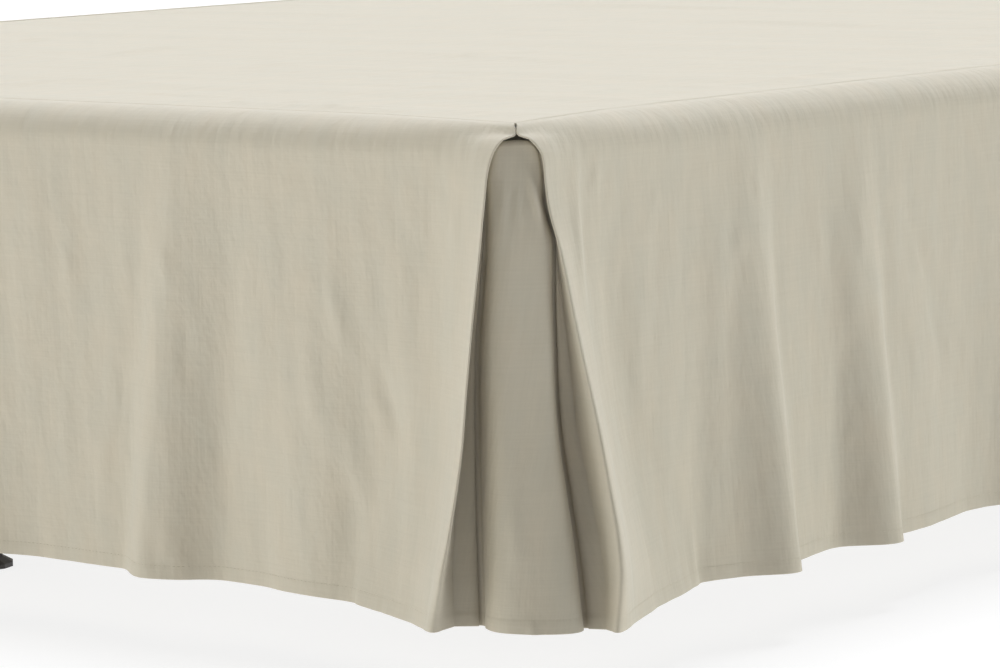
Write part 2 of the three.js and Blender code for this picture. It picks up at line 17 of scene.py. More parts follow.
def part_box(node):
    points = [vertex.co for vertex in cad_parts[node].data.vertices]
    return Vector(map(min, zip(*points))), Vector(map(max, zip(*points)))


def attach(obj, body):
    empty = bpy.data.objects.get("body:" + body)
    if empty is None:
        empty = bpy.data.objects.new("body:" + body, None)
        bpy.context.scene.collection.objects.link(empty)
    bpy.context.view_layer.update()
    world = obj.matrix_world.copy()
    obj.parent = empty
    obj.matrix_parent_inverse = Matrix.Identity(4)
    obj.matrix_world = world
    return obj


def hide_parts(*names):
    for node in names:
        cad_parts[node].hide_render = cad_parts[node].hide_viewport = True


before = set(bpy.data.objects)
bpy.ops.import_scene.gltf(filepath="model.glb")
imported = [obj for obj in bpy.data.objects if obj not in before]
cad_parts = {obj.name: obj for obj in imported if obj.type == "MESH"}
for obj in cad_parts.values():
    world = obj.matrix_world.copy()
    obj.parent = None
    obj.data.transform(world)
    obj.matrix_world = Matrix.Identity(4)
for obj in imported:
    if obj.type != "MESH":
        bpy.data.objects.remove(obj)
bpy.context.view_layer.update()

# %% [markdown]
# ## The sizes that everything hangs from
# The skirt is a box of cloth, so its width, its length and the height of the deck place
# nearly every point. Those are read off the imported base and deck, so the skirt still fits
# if the base changes. The height of the hem over the floor is chosen here, and so, in a
# later cell, is the radius of the top edge.

# %% Sizes of the bed, in metres
BASE_INSET = 0.006
CORNER = namedtuple("CornerLines", "right left foot")
base_low, base_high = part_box("bed_base")
deck_low, deck_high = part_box("deck")
SIDES = CORNER(base_high.x + BASE_INSET, base_low.x - BASE_INSET, base_low.y - BASE_INSET)
WIDTH = SIDES.right - SIDES.left
LENGTH = base_high.y + BASE_INSET - SIDES.foot
TOP = (deck_low.z + deck_high.z) / 2
HEM_HEIGHT = 0.056
DROP = TOP - HEM_HEIGHT
print(f"skirt {WIDTH:.3f} by {LENGTH:.3f}, deck at {TOP:.3f}, drop {DROP:.3f}")

# %% [markdown]
# ## Small rules for soft shapes
# Cloth has no corners of its own. A table of a few sizes becomes a soft line when a
# smooth curve runs through it, and a fold is a soft hump that fades to both sides.


# %% Soft rules
def mix(a, b, part):
    return a + (b - a) * part


def clamp(value):
    return np.clip(value, 0.0, 1.0)


def fade(part):
    """1 at the middle of a fold, 0 at its edge, with no corner between."""
    return (1 + np.cos(np.pi * clamp(part))) / 2


def smooth_through(places, values, at):
    """A smooth line through a table's values, which never overshoots them."""
    x, y = np.asarray(places, float), np.asarray(values, float)
    at = np.clip(at, x[0], x[-1])
    step = np.diff(x)
    rise = np.diff(y) / step
    before, after = 2 * step[1:] + step[:-1], step[1:] + 2 * step[:-1]
    with np.errstate(divide="ignore", invalid="ignore"):
        mean = (before + after) / (before / rise[:-1] + after / rise[1:])
    slope = np.concatenate([[rise[0]], np.where(rise[:-1] * rise[1:] > 0, mean, 0), [rise[-1]]])
    i = np.clip(np.searchsorted(x, at, side="right") - 1, 0, len(step) - 1)
    t = (at - x[i]) / step[i]
    return (
        (2 * t**3 - 3 * t**2 + 1) * y[i]
        + (t**3 - 2 * t**2 + t) * step[i] * slope[i]
        + (3 * t**2 - 2 * t**3) * y[i + 1]
        + (t**3 - t**2) * step[i] * slope[i + 1]
    )


def size_at(table, key, name, at):
    """One column of a table of named rows, at any place of its key column."""
    return smooth_through([getattr(r, key) for r in table], [getattr(r, name) for r in table], at)


# %% [markdown]
# ## How a drop falls over the edge
# Each drop starts at its seam on the deck, lies flat for a finger's width, rolls over the
# edge of the mattress base and then hangs. The length of cloth from the seam, called
# path, is the one number that follows the cloth all the way down.

# %% The roll over the edge
EDGE_RADIUS = 0.028
FLAT_STRIP = 0.010
SEAM_INSET = FLAT_STRIP + EDGE_RADIUS
QUARTER_TURN = EDGE_RADIUS * math.pi / 2
HEM_PATH = FLAT_STRIP + QUARTER_TURN + DROP - EDGE_RADIUS
CORNER_SEAM_INSET = 0.014
SEAM_SWEEP = 0.150


def over_edge(path):
    """How far plain cloth lies inside the face and below the deck, at a path length."""
    turn = np.clip((path - FLAT_STRIP) / EDGE_RADIUS, 0, math.pi / 2)
    hanging = np.maximum(path - FLAT_STRIP - QUARTER_TURN, 0)
    inset = SEAM_INSET - np.minimum(path, FLAT_STRIP) - EDGE_RADIUS * np.sin(turn)
    return inset, EDGE_RADIUS * (1 - np.cos(turn)) + hanging


def seam_share(from_pleat):
    """Near a pleat the seam draws out towards the corner, and the rows go with it."""
    return mix(CORNER_SEAM_INSET / SEAM_INSET, 1, clamp((from_pleat - CORNER_SEAM_INSET) / SEAM_SWEEP))


print(f"cloth from seam to hem {HEM_PATH:.3f}")

# %% [markdown]
# ## The pleat's fold edge
# At each foot corner two drops meet in an inverted pleat. Both turn back at a fold edge,
# which starts on the deck, arches down over the insert and swings outward towards the
# hem. The table follows that edge down the cloth: how far it has dropped, how far along
# the panel it lies and how far it stands off the face.

# %% The fold edge, and how each panel meets its pleat
PleatEdge = namedtuple("PleatEdge", "path down foot_along foot_out side_along side_out")
PLEAT_EDGE = [
    PleatEdge(0.0000, 0.0000, 0.0147, -0.0140, 0.0147, -0.0140),
    PleatEdge(0.0100, 0.0012, 0.0117, -0.0105, 0.0117, -0.0105),
    PleatEdge(0.0286, 0.0075, 0.0081, -0.0069, 0.0071, -0.0059),
    PleatEdge(0.0392, 0.0108, 0.0125, 0.0020, 0.0115, 0.0010),
    PleatEdge(0.0462, 0.0165, 0.0160, 0.0067, 0.0155, 0.0050),
    PleatEdge(0.0540, 0.0250, 0.0185, 0.0102, 0.0185, 0.0085),
    PleatEdge(0.0660, 0.0400, 0.0200, 0.0142, 0.0200, 0.0090),
    PleatEdge(0.0820, 0.0560, 0.0200, 0.0172, 0.0200, 0.0111),
    PleatEdge(0.0960, 0.0700, 0.0200, 0.0198, 0.0200, 0.0143),
    PleatEdge(0.1210, 0.0950, 0.0200, 0.0243, 0.0200, 0.0227),
    PleatEdge(0.1710, 0.1450, 0.0200, 0.0340, 0.0200, 0.0350),
    PleatEdge(0.2310, 0.2050, 0.0200, 0.0442, 0.0200, 0.0508),
    PleatEdge(0.2650, 0.2390, 0.0200, 0.0492, 0.0180, 0.0612),
    PleatEdge(0.3000, 0.2740, 0.0200, 0.0574, 0.0150, 0.0710),
    PleatEdge(0.3380, 0.3120, 0.0210, 0.0678, 0.0100, 0.0825),
    PleatEdge(0.3690, 0.3430, 0.0240, 0.0747, 0.0060, 0.0878),
    PleatEdge(0.4070, 0.3810, 0.0320, 0.0765, 0.0020, 0.0868),
]
# lift: how far this edge stands out against the table; sweep: how far it wanders along
# the panel by the hem; reach: how much further its flare reaches at the hem
PleatEnd = namedtuple("PleatEnd", "side lift sweep reach")
Pleat = namedtuple("Pleat", "foot side turn")
RIGHT_PLEAT = Pleat(PleatEnd("foot", 1.0, 0.0, 0.065), PleatEnd("side", 1.0, 0.0, 0.110), 0.25)
LEFT_PLEAT = Pleat(PleatEnd("foot", 1.05, -0.012, 0.070), PleatEnd("side", 0.95, 0.004, 0.085), -0.12)

FLARE_REACH_TOP = 0.060
FLARE_GROWTH = 0.060
FLARE_CURVE = 1.45
DISH = 0.004
DISH_AT = 0.080
DISH_WIDTH = 0.110
TOP_BLEND = 0.060
SWEEP_START = 0.5


def fold_edge(path, end):
    """Along, out and down of the fold edge at a path length."""
    down = size_at(PLEAT_EDGE, "path", "down", path)
    along = size_at(PLEAT_EDGE, "path", end.side + "_along", path)
    out = size_at(PLEAT_EDGE, "path", end.side + "_out", path)
    lower = clamp((down / DROP - SWEEP_START) / (1 - SWEEP_START))
    return along + end.sweep * lower**2, np.where(out > 0, out * end.lift, out), down


def flare(path, end, distance, lean):
    """What a pleat adds to plain cloth near it: how far out, and how much lower."""
    along, out, down = fold_edge(path, end)
    inset, sink = over_edge(path)
    fall = down / DROP
    past = distance - along
    lift = out + inset * seam_share(along) - lean * fall
    reach = FLARE_REACH_TOP + FLARE_GROWTH * fall + end.reach * fall**4
    dish = DISH * 4 * fall * (1 - fall) * fade(np.abs(past - DISH_AT) / DISH_WIDTH) * clamp(past / DISH_AT)
    return lift * (1 - clamp(past / reach)) ** FLARE_CURVE - dish, (down - sink) * fade(past / TOP_BLEND)


# %% [markdown]
# ## Folds
# A drop hangs in long, shallow folds that grow towards the hem. Each is one row of a
# short table: where it is, how wide it rises and falls, how far it stands off, where it
# starts and how far it drifts.

# %% Tables of folds
Fold = namedtuple("Fold", "at rise fall out start drift")
FOOT_FOLDS = [
    Fold(0.204, 0.048, 0.070, 0.007, 0.05, 0.006),
    Fold(0.296, 0.080, 0.052, -0.006, 0.10, 0.020),
    Fold(0.344, 0.070, 0.046, 0.020, 0.00, 0.038),
    Fold(0.540, 0.130, 0.060, -0.005, 0.20, 0.000),
    Fold(0.622, 0.084, 0.070, 0.011, 0.10, -0.014),
    Fold(0.765, 0.090, 0.090, -0.007, 0.20, 0.000),
    Fold(0.894, 0.052, 0.074, 0.013, 0.12, 0.010),
    Fold(1.020, 0.088, 0.088, -0.008, 0.20, 0.000),
    Fold(1.136, 0.066, 0.050, 0.011, 0.05, -0.012),
    Fold(1.248, 0.074, 0.074, -0.006, 0.15, 0.000),
]
RIGHT_FOLDS = [
    Fold(0.230, 0.060, 0.044, -0.006, 0.10, -0.024),
    Fold(0.297, 0.050, 0.034, 0.026, 0.04, -0.006),
    Fold(0.292, 0.080, 0.090, 0.006, 0.05, -0.010),
    Fold(0.398, 0.050, 0.040, -0.008, 0.15, 0.000),
    Fold(0.449, 0.050, 0.034, 0.024, 0.05, 0.003),
    Fold(0.640, 0.130, 0.070, -0.016, 0.05, 0.000),
    Fold(0.720, 0.070, 0.078, 0.007, 0.15, -0.010),
    Fold(0.835, 0.084, 0.056, 0.017, 0.05, 0.014),
    Fold(0.950, 0.076, 0.076, -0.006, 0.20, 0.000),
    Fold(1.085, 0.070, 0.090, 0.015, 0.12, -0.012),
    Fold(1.245, 0.088, 0.088, -0.007, 0.20, 0.000),
    Fold(1.385, 0.080, 0.060, 0.017, 0.08, 0.012),
    Fold(1.530, 0.084, 0.084, -0.005, 0.20, 0.000),
    Fold(1.680, 0.066, 0.088, 0.015, 0.10, -0.014),
    Fold(1.850, 0.078, 0.078, 0.009, 0.10, 0.010),
]
LEFT_FOLDS = [
    Fold(0.240, 0.066, 0.066, -0.004, 0.20, 0.000),
    Fold(0.345, 0.066, 0.084, 0.019, 0.08, 0.012),
    Fold(0.478, 0.070, 0.070, -0.006, 0.20, 0.000),
    Fold(0.604, 0.078, 0.058, 0.016, 0.12, -0.010),
    Fold(0.760, 0.084, 0.084, 0.006, 0.15, 0.000),
    Fold(0.905, 0.060, 0.080, 0.017, 0.06, 0.014),
    Fold(1.060, 0.084, 0.084, -0.007, 0.20, 0.000),
    Fold(1.205, 0.084, 0.064, 0.014, 0.10, -0.012),
    Fold(1.370, 0.082, 0.082, -0.005, 0.20, 0.000),
    Fold(1.500, 0.058, 0.074, 0.018, 0.08, 0.010),
    Fold(1.660, 0.084, 0.084, -0.006, 0.20, 0.000),
    Fold(1.820, 0.080, 0.080, 0.013, 0.10, -0.010),
]


def fold_out(folds, lean, s, fall):
    """How far the face stands off its plain plane, from its lean and all its folds."""
    out = lean * fall
    for fold in folds:
        growth = clamp((fall - fold.start) / (1 - fold.start))
        past = s - fold.at - fold.drift * fall
        out = out + fold.out * growth * fade(np.abs(past) / np.where(past < 0, fold.rise, fold.fall))
    return out


# %% [markdown]
# ## Creases
# Creases are smaller than folds. Each is a soft ridge or trough from one point of the
# cloth to another. Slow uneven waves, drawn from a fixed seed, lie under them all, so
# that no stretch of cloth is quite flat.

# %% Tables of creases
# s and down give both ends of a crease; width is its soft half width, out its height
Crease = namedtuple("Crease", "s down to_s to_down width out")
FOOT_CREASES = [
    Crease(0.108, 0.090, 0.094, 0.375, 0.018, 0.0046),
    Crease(0.186, 0.210, 0.146, 0.345, 0.012, 0.0020),
    Crease(0.206, 0.180, 0.176, 0.300, 0.013, 0.0012),
    Crease(0.352, 0.330, 0.346, 0.400, 0.006, 0.0018),
    Crease(0.374, 0.325, 0.366, 0.395, 0.006, -0.0014),
    Crease(0.420, 0.200, 0.421, 0.262, 0.004, -0.0016),
    Crease(0.252, 0.110, 0.258, 0.310, 0.022, 0.0016),
    Crease(0.160, 0.368, 0.164, 0.395, 0.004, -0.0014),
    Crease(0.118, 0.372, 0.120, 0.395, 0.004, -0.0012),
    Crease(0.365, 0.098, 0.356, 0.153, 0.0060, 0.0020),
    Crease(0.343, 0.135, 0.337, 0.249, 0.0080, -0.0018),
    Crease(0.195, 0.113, 0.170, 0.199, 0.0080, 0.0022),
    Crease(0.149, 0.180, 0.120, 0.257, 0.0070, -0.0022),
    Crease(0.217, 0.168, 0.207, 0.255, 0.0080, 0.0014),
    Crease(0.480, 0.061, 0.478, 0.185, 0.0100, 0.0014),
    Crease(0.438, 0.240, 0.446, 0.341, 0.0080, 0.0014),
    Crease(0.287, 0.254, 0.295, 0.344, 0.0090, -0.0012),
    Crease(0.054, 0.050, 0.064, 0.106, 0.0050, 0.0014),
]
RIGHT_CREASES = [
    Crease(0.068, 0.010, 0.050, 0.165, 0.006, 0.0030),
    Crease(0.082, 0.020, 0.066, 0.150, 0.007, -0.0016),
    Crease(0.512, 0.070, 0.604, 0.305, 0.012, -0.0040),
    Crease(0.486, 0.110, 0.566, 0.320, 0.012, 0.0018),
    Crease(0.195, 0.318, 0.194, 0.400, 0.006, 0.0030),
    Crease(0.212, 0.335, 0.206, 0.400, 0.006, -0.0018),
    Crease(0.316, 0.180, 0.322, 0.400, 0.010, 0.0032),
    Crease(0.420, 0.070, 0.424, 0.230, 0.013, 0.0034),
    Crease(0.473, 0.200, 0.480, 0.400, 0.010, 0.0030),
    Crease(0.130, 0.100, 0.142, 0.240, 0.012, 0.0012),
    Crease(0.166, 0.057, 0.171, 0.081, 0.0035, 0.0014),
    Crease(0.294, 0.064, 0.305, 0.081, 0.0040, 0.0016),
    Crease(0.267, 0.099, 0.269, 0.128, 0.0050, 0.0018),
    Crease(0.231, 0.106, 0.254, 0.135, 0.0050, -0.0014),
    Crease(0.118, 0.122, 0.121, 0.144, 0.0040, -0.0012),
    Crease(0.386, 0.093, 0.391, 0.147, 0.0060, 0.0016),
    Crease(0.439, 0.084, 0.441, 0.152, 0.0060, 0.0018),
    Crease(0.508, 0.103, 0.575, 0.217, 0.0070, 0.0020),
    Crease(0.545, 0.136, 0.629, 0.282, 0.0080, -0.0022),
    Crease(0.501, 0.183, 0.537, 0.281, 0.0070, 0.0018),
    Crease(0.405, 0.157, 0.413, 0.241, 0.0070, 0.0016),
    Crease(0.097, 0.025, 0.090, 0.068, 0.0050, 0.0014),
    Crease(0.131, 0.169, 0.137, 0.241, 0.0080, 0.0012),
    Crease(0.240, 0.060, 0.250, 0.200, 0.012, 0.0012),
]
LEFT_CREASES = [
    Crease(0.066, 0.015, 0.074, 0.140, 0.008, 0.0018),
    Crease(0.180, 0.220, 0.215, 0.330, 0.012, 0.0014),
    Crease(0.400, 0.100, 0.420, 0.390, 0.016, -0.0026),
    Crease(0.530, 0.160, 0.548, 0.395, 0.013, 0.0034),
    Crease(0.680, 0.090, 0.640, 0.280, 0.012, 0.0020),
    Crease(0.985, 0.120, 1.000, 0.390, 0.016, 0.0030),
    Crease(1.290, 0.110, 1.320, 0.300, 0.013, -0.0022),
    Crease(1.590, 0.150, 1.600, 0.390, 0.014, 0.0030),
]


def crease_out(creases, s, down):
    """The height of all creases at a point of the cloth."""
    total = np.zeros(np.broadcast(s, down).shape)
    for c in creases:
        run, fall = c.to_s - c.s, c.to_down - c.down
        length = math.hypot(run, fall)
        part = ((s - c.s) * run + (down - c.down) * fall) / length**2
        off = ((s - c.s) * fall - (down - c.down) * run) / length
        total = total + c.out * fade(np.abs(2 * part - 1)) * np.exp(-((off / c.width) ** 2))
    return total


Wave = namedtuple("Wave", "across along")
WAVES = [Wave(0.21, 1.1), Wave(0.13, 0.7), Wave(0.083, 0.5), Wave(0.051, 0.33), Wave(0.032, 0.21)]


def unevenness(seed, s, down, height):
    """Slow waves of hanging cloth, longer down the cloth than across it."""
    rng = np.random.default_rng(seed)
    total = np.zeros(np.broadcast(s, down).shape)
    for wave in WAVES:
        tilt, shift = rng.uniform(-1, 1), rng.uniform(0, 2 * math.pi)
        turns = s / wave.across + tilt * down / wave.along
        total = total + wave.across * np.cos(2 * math.pi * turns + shift)
    return height * total / WAVES[0].across


print("folds:", len(FOOT_FOLDS), len(RIGHT_FOLDS), len(LEFT_FOLDS))

# %% [markdown]
# ## The panels
# The three drops are one kind of piece in three places. Each has its own frame: s runs
# along its top edge from a foot corner, and out points away from the bed.

# %% Panels
Panel = namedtuple("Panel", "name length lean folds creases start end side place seed")
HEAD_END_INSET = 0.008
HANG_START = 0.02
HANG_FADE = 0.10
DROP_UNEVEN = 0.0012


def foot_place(s, out):
    return SIDES.right - s, SIDES.foot - out


def right_place(s, out):
    return SIDES.right + out, SIDES.foot + s


def left_place(s, out):
    return SIDES.left - out, SIDES.foot + s


FOOT = Panel("foot", WIDTH, 0.001, FOOT_FOLDS, FOOT_CREASES,
             RIGHT_PLEAT, LEFT_PLEAT, "foot", foot_place, 11)
RIGHT = Panel("right", LENGTH - HEAD_END_INSET, 0.020, RIGHT_FOLDS, RIGHT_CREASES,
              RIGHT_PLEAT, None, "side", right_place, 12)
LEFT = Panel("left", LENGTH - HEAD_END_INSET, 0.014, LEFT_FOLDS, LEFT_CREASES,
             LEFT_PLEAT, None, "side", left_place, 13)


def face_out(panel, path, s):
    """Out and height of a panel's middle surface."""
    inset, sink = over_edge(path)
    to_end = panel.length - s
    from_pleat = np.minimum(s, to_end) if panel.end else s
    near_out, near_sink = flare(path, getattr(panel.start, panel.side), s, panel.lean)
    out = fold_out(panel.folds, panel.lean, s, sink / DROP) - inset * seam_share(from_pleat) + near_out
    down = sink + near_sink
    if panel.end:
        far_out, far_sink = flare(path, getattr(panel.end, panel.side), to_end, panel.lean)
        out, down = out + far_out, down + far_sink
    hang = clamp((down - HANG_START) / HANG_FADE)
    out = out + crease_out(panel.creases, s, down)
    out = out + hang * unevenness(panel.seed, s, down, DROP_UNEVEN)
    return out, TOP - down


# %% [markdown]
# ## The insert's shape
# The insert is a flat strip of the same linen behind the pleat. Its front stands between
# the two fold edges, it dips into a valley on both sides, and its laps reach behind the
# drops. Its table gives its sizes on the corner's diagonal, at several depths.

# %% Insert tables
# foot and side name the two halves, for the drop that each lies behind. half: half the
# front's width; valley: its depth behind the front; show: how much of the return shows
Station = namedtuple(
    "Station", "down front foot_half side_half foot_valley side_valley foot_show side_show")
INSERT_STATIONS = [
    Station(0.0075, 0.0180, 0.0125, 0.0120, 0.0015, 0.0015, -0.0015, -0.0015),
    Station(0.0280, 0.0155, 0.0178, 0.0168, 0.0030, 0.0030, -0.0015, -0.0015),
    Station(0.0420, 0.0135, 0.0206, 0.0180, 0.0060, 0.0050, -0.0010, -0.0010),
    Station(0.0560, 0.0110, 0.0208, 0.0176, 0.0100, 0.0080, -0.0010, -0.0010),
    Station(0.0700, 0.0080, 0.0210, 0.0200, 0.0130, 0.0110, -0.0010, -0.0005),
    Station(0.0900, 0.0042, 0.0217, 0.0243, 0.0160, 0.0140, -0.0005, 0.0010),
    Station(0.1350, -0.0020, 0.0250, 0.0231, 0.0215, 0.0210, 0.0000, 0.0040),
    Station(0.1690, -0.0066, 0.0277, 0.0233, 0.0265, 0.0255, 0.0005, 0.0070),
    Station(0.2050, -0.0115, 0.0288, 0.0237, 0.0315, 0.0300, 0.0010, 0.0110),
    Station(0.2350, -0.0166, 0.0293, 0.0250, 0.0335, 0.0310, 0.0020, 0.0140),
    Station(0.2850, -0.0267, 0.0304, 0.0296, 0.0345, 0.0300, 0.0050, 0.0130),
    Station(0.3270, -0.0356, 0.0310, 0.0333, 0.0330, 0.0265, 0.0110, 0.0110),
    Station(0.3810, -0.0470, 0.0318, 0.0362, 0.0300, 0.0225, 0.0200, 0.0070),
]
# across: part of the half width; back: part of the valley's depth; proud: part of the
# front's bulge; top: how far below the deck this column starts
Column = namedtuple("Column", "across back proud top")
INSERT_COLUMNS = [
    Column(1.10, 1, 0, 0.021),
    Column(1.04, 0.60, 0, 0.018),
    Column(0.94, 0.25, 0.1, 0.0155),
    Column(0.74, 0.06, 0.4, 0.0132),
    Column(0.42, 0, 0.8, 0.0126),
]
MIDDLE = Column(0, 0, 1, 0.0122)
INSERT_BULGE = 0.006
VALLEY_TOP = 0.023
VALLEY_PAST = 0.003
VALLEY_SLOPE = 0.006
SLOPE_TOP = 0.020
SLOPE_RUN = 0.040
RETURN_SIDE = 0.0032
RETURN_PAST = 0.0015
TIP_SIDE = 0.0030
LAP_BULGE = 0.0020
INSERT_LAP = 0.058
INSERT_BEHIND = 0.0028
LAP_TOP = 0.034
RETURN_CLEAR = 0.0014
# across the diagonal, the foot's half lies on one side and the side's half on the other
TOWARDS = {"foot": -1, "side": 1}


def station(name, down):
    return size_at(INSERT_STATIONS, "down", name, down)


def from_diagonal(across, inward):
    """From the corner's diagonal frame to distances along the foot and along the side."""
    return (inward - across) * math.sqrt(0.5), (inward + across) * math.sqrt(0.5)


def return_across(down, side, pleat):
    """How far from the diagonal a drop's return comes down behind its fold."""
    path = size_at(PLEAT_EDGE, "down", "path", down)
    along, out, _ = fold_edge(path, getattr(pleat, side))
    edge = (along + out) * math.sqrt(0.5)
    clear = INSERT_COLUMNS[0].across * station(side + "_half", down) + RETURN_SIDE
    return np.minimum(np.maximum(edge - station(side + "_show", down), clear), edge + RETURN_PAST)


def valley_slope(down):
    """How much further in the valley's far side lies than its near side."""
    return VALLEY_SLOPE * (1 - down / DROP) * clamp((down - SLOPE_TOP) / SLOPE_RUN)


def return_point(away, deeper, down, side, pleat, half):
    """A point just in front of the insert's valley, in the panel's own frame."""
    across = TOWARDS[side] * away
    inward = station("front", down) + station(side + "_valley", down) - 2 * half - RETURN_CLEAR
    inward = inward + deeper - pleat.turn * across * down / DROP
    along_foot, along_side = from_diagonal(across, inward)
    return (along_foot, -along_side) if side == "foot" else (along_side, -along_foot)


def return_end(down, side, pleat, half):
    """Where a drop's return comes down on the insert behind its fold."""
    deeper = valley_slope(down) / 2 - LAP_BULGE * (down / DROP) ** 2
    return return_point(return_across(down, side, pleat), deeper, down, side, pleat, half)


def return_tip(down, side, pleat, half):
    """The last strip of the return lies on the insert, up to the foot of its flank."""
    return return_point(INSERT_COLUMNS[0].across * station(side + "_half", down) + TIP_SIDE,
                        0, down, side, pleat, half)


# %% [markdown]
# ## A sheet of cloth as a mesh
# Cloth is a middle surface with a small thickness. The helper collects rows of points,
# joins them into quads, and then builds both sides and a narrow rim, so that the sheet is
# closed. Every point keeps its place in the cloth as UV, in metres, for the weave.

# %% Cloth sheets
HALF_THICK = 0.0006
HEM_HALF_THICK = 0.0008
HEM_TURN = 0.011


def add_object(name, data):
    made = bpy.data.objects.new(name, data)
    bpy.context.scene.collection.objects.link(made)
    return made


class Cloth:
    def __init__(self):
        self.points, self.flat, self.half, self.quads = [], [], [], []
        self.count = 0

    def row(self, points, flat, half=HALF_THICK):
        points = np.asarray(points, float)
        self.points.append(points)
        self.flat.append(np.asarray(flat, float))
        self.half.append(np.broadcast_to(half, len(points)))
        self.count += len(points)
        return np.arange(self.count - len(points), self.count)

    def fill(self, rows):
        for upper, lower in zip(rows, rows[1:]):
            self.quads.append(np.stack([upper[:-1], upper[1:], lower[1:], lower[:-1]], 1))

    def diagonal_cross(self, points, quads):
        """Each quad's normal, twice as long as its area, from its two diagonals."""
        diagonal_a = points[quads[:, 2]] - points[quads[:, 0]]
        diagonal_b = points[quads[:, 3]] - points[quads[:, 1]]
        return np.cross(diagonal_a, diagonal_b)

    def normals(self, points, quads):
        across = self.diagonal_cross(points, quads)
        total = np.zeros_like(points)
        for corner in range(4):
            np.add.at(total, quads[:, corner], across)
        return total / np.maximum(np.linalg.norm(total, axis=1, keepdims=True), 1e-12)

    def rim(self, quads):
        edges = np.concatenate([quads[:, [k, (k + 1) % 4]] for k in range(4)])
        ours = {tuple(e) for e in edges.tolist()}
        return np.array([e for e in edges.tolist() if (e[1], e[0]) not in ours])

    def build(self, name, material):
        points, flat = np.concatenate(self.points), np.concatenate(self.flat)
        half, quads = np.concatenate(self.half)[:, None], np.concatenate(self.quads)
        normals = self.normals(points, quads)
        rim = self.rim(quads)
        n = len(points)
        both = np.concatenate([points + normals * half, points - normals * half])
        back = quads[:, ::-1] + n
        side = np.stack([rim[:, 1], rim[:, 0], rim[:, 0] + n, rim[:, 1] + n], 1)
        faces = np.concatenate([quads, back, side])
        mesh = bpy.data.meshes.new(name)
        mesh.from_pydata(both.tolist(), [], faces.tolist())
        smooth = np.ones(len(faces), bool)
        smooth[len(quads) * 2:] = False
        mesh.polygons.foreach_set("use_smooth", smooth)
        uv = mesh.uv_layers.new(name="cloth")
        corners = np.concatenate([flat, flat])[faces.ravel()]
        uv.data.foreach_set("uv", corners.ravel())
        mesh.materials.append(material)
        mesh.update()
        area = 0.5 * np.linalg.norm(self.diagonal_cross(points, quads), axis=1).sum()
        print(f"{name}: {len(faces)} faces, {area:.3f} square metres of cloth")
        return add_object(name, mesh)


# %% [markdown]
# ## Linen
# Linen is a plain weave of flax. Its threads vary in thickness, so long thick places, or
# slubs, show in both directions, and the cloth has hardly any shine. The weave is drawn
# from each piece's own UV, so it follows the cloth down every fold. Slubs give both a
# faint change of colour and a faint relief, and a wider relief stands for the soft
# crumpling that washed linen keeps.

# %% Linen finish
LINEN = (0.585, 0.535, 0.435)
# the linen's colour times these gives the darkest and the lightest threads
DARK_SHARE, LIGHT_SHARE = 0.93, 1.07
COOL_PATCH, WARM_PATCH = (0.955, 0.985, 1.0, 1), (1.045, 1.015, 0.985, 1)
# scale: grains per metre of cloth, both ways; a thread's grain is long one way
Grain = namedtuple("Grain", "scale detail")
GRAINS = {
    "warp": Grain((560, 16, 1), 2),
    "weft": Grain((16, 560, 1), 2),
    "patch": Grain((38, 20, 1), 4),
    "crumple": Grain((62, 30, 1), 3),
    "wrinkle": Grain((150, 18, 1), 2),
}
WRINKLE_SHARE = 0.3
HAND_RELIEF = 0.0030
WEAVE_RELIEF = 0.0004


def node(tree, kind, place, **inputs):
    made = tree.nodes.new(kind)
    made.location = place
    for key, value in inputs.items():
        made.inputs[key.replace("_", " ")].default_value = value
    return made


def feed(tree, socket, value):
    """Set an input to a value, or link it to another node's output."""
    if isinstance(value, bpy.types.NodeSocket):
        tree.links.new(value, socket)
    else:
        socket.default_value = value


def math_node(tree, operation, place, *values):
    made = node(tree, "ShaderNodeMath", place)
    made.operation = operation
    for socket, value in zip(made.inputs, values):
        feed(tree, socket, value)
    return made.outputs[0]


def colour_mix(tree, place, part, a, b, blend="MIX"):
    made = node(tree, "ShaderNodeMix", place)
    made.data_type, made.blend_type = "RGBA", blend
    for key, value in ((0, part), ("A", a), ("B", b)):
        feed(tree, made.inputs[key], value)
    return made.outputs["Result"]


def relief(tree, place, height, strength, distance):
    made = node(tree, "ShaderNodeBump", place, Strength=strength, Distance=distance)
    tree.links.new(height, made.inputs["Height"])
    return made


def new_finish(name, **inputs):
    """A new material with its node tree and its shader, whose inputs are set."""
    material = bpy.data.materials.new(name)
    material.use_nodes = True
    shader = material.node_tree.nodes["Principled BSDF"]
    for key, value in inputs.items():
        shader.inputs[key.replace("_", " ")].default_value = value
    return material, material.node_tree, shader


def stretched_noise(tree, source, place, grain):
    """Noise whose grain may be longer one way than the other, as a thread's is."""
    turn = node(tree, "ShaderNodeMapping", place, Scale=grain.scale)
    tree.links.new(source, turn.inputs["Vector"])
    noise = node(tree, "ShaderNodeTexNoise", (place[0] + 200, place[1]), Scale=1.0, Detail=grain.detail)
    tree.links.new(turn.outputs[0], noise.inputs["Vector"])
    return noise.outputs[0]


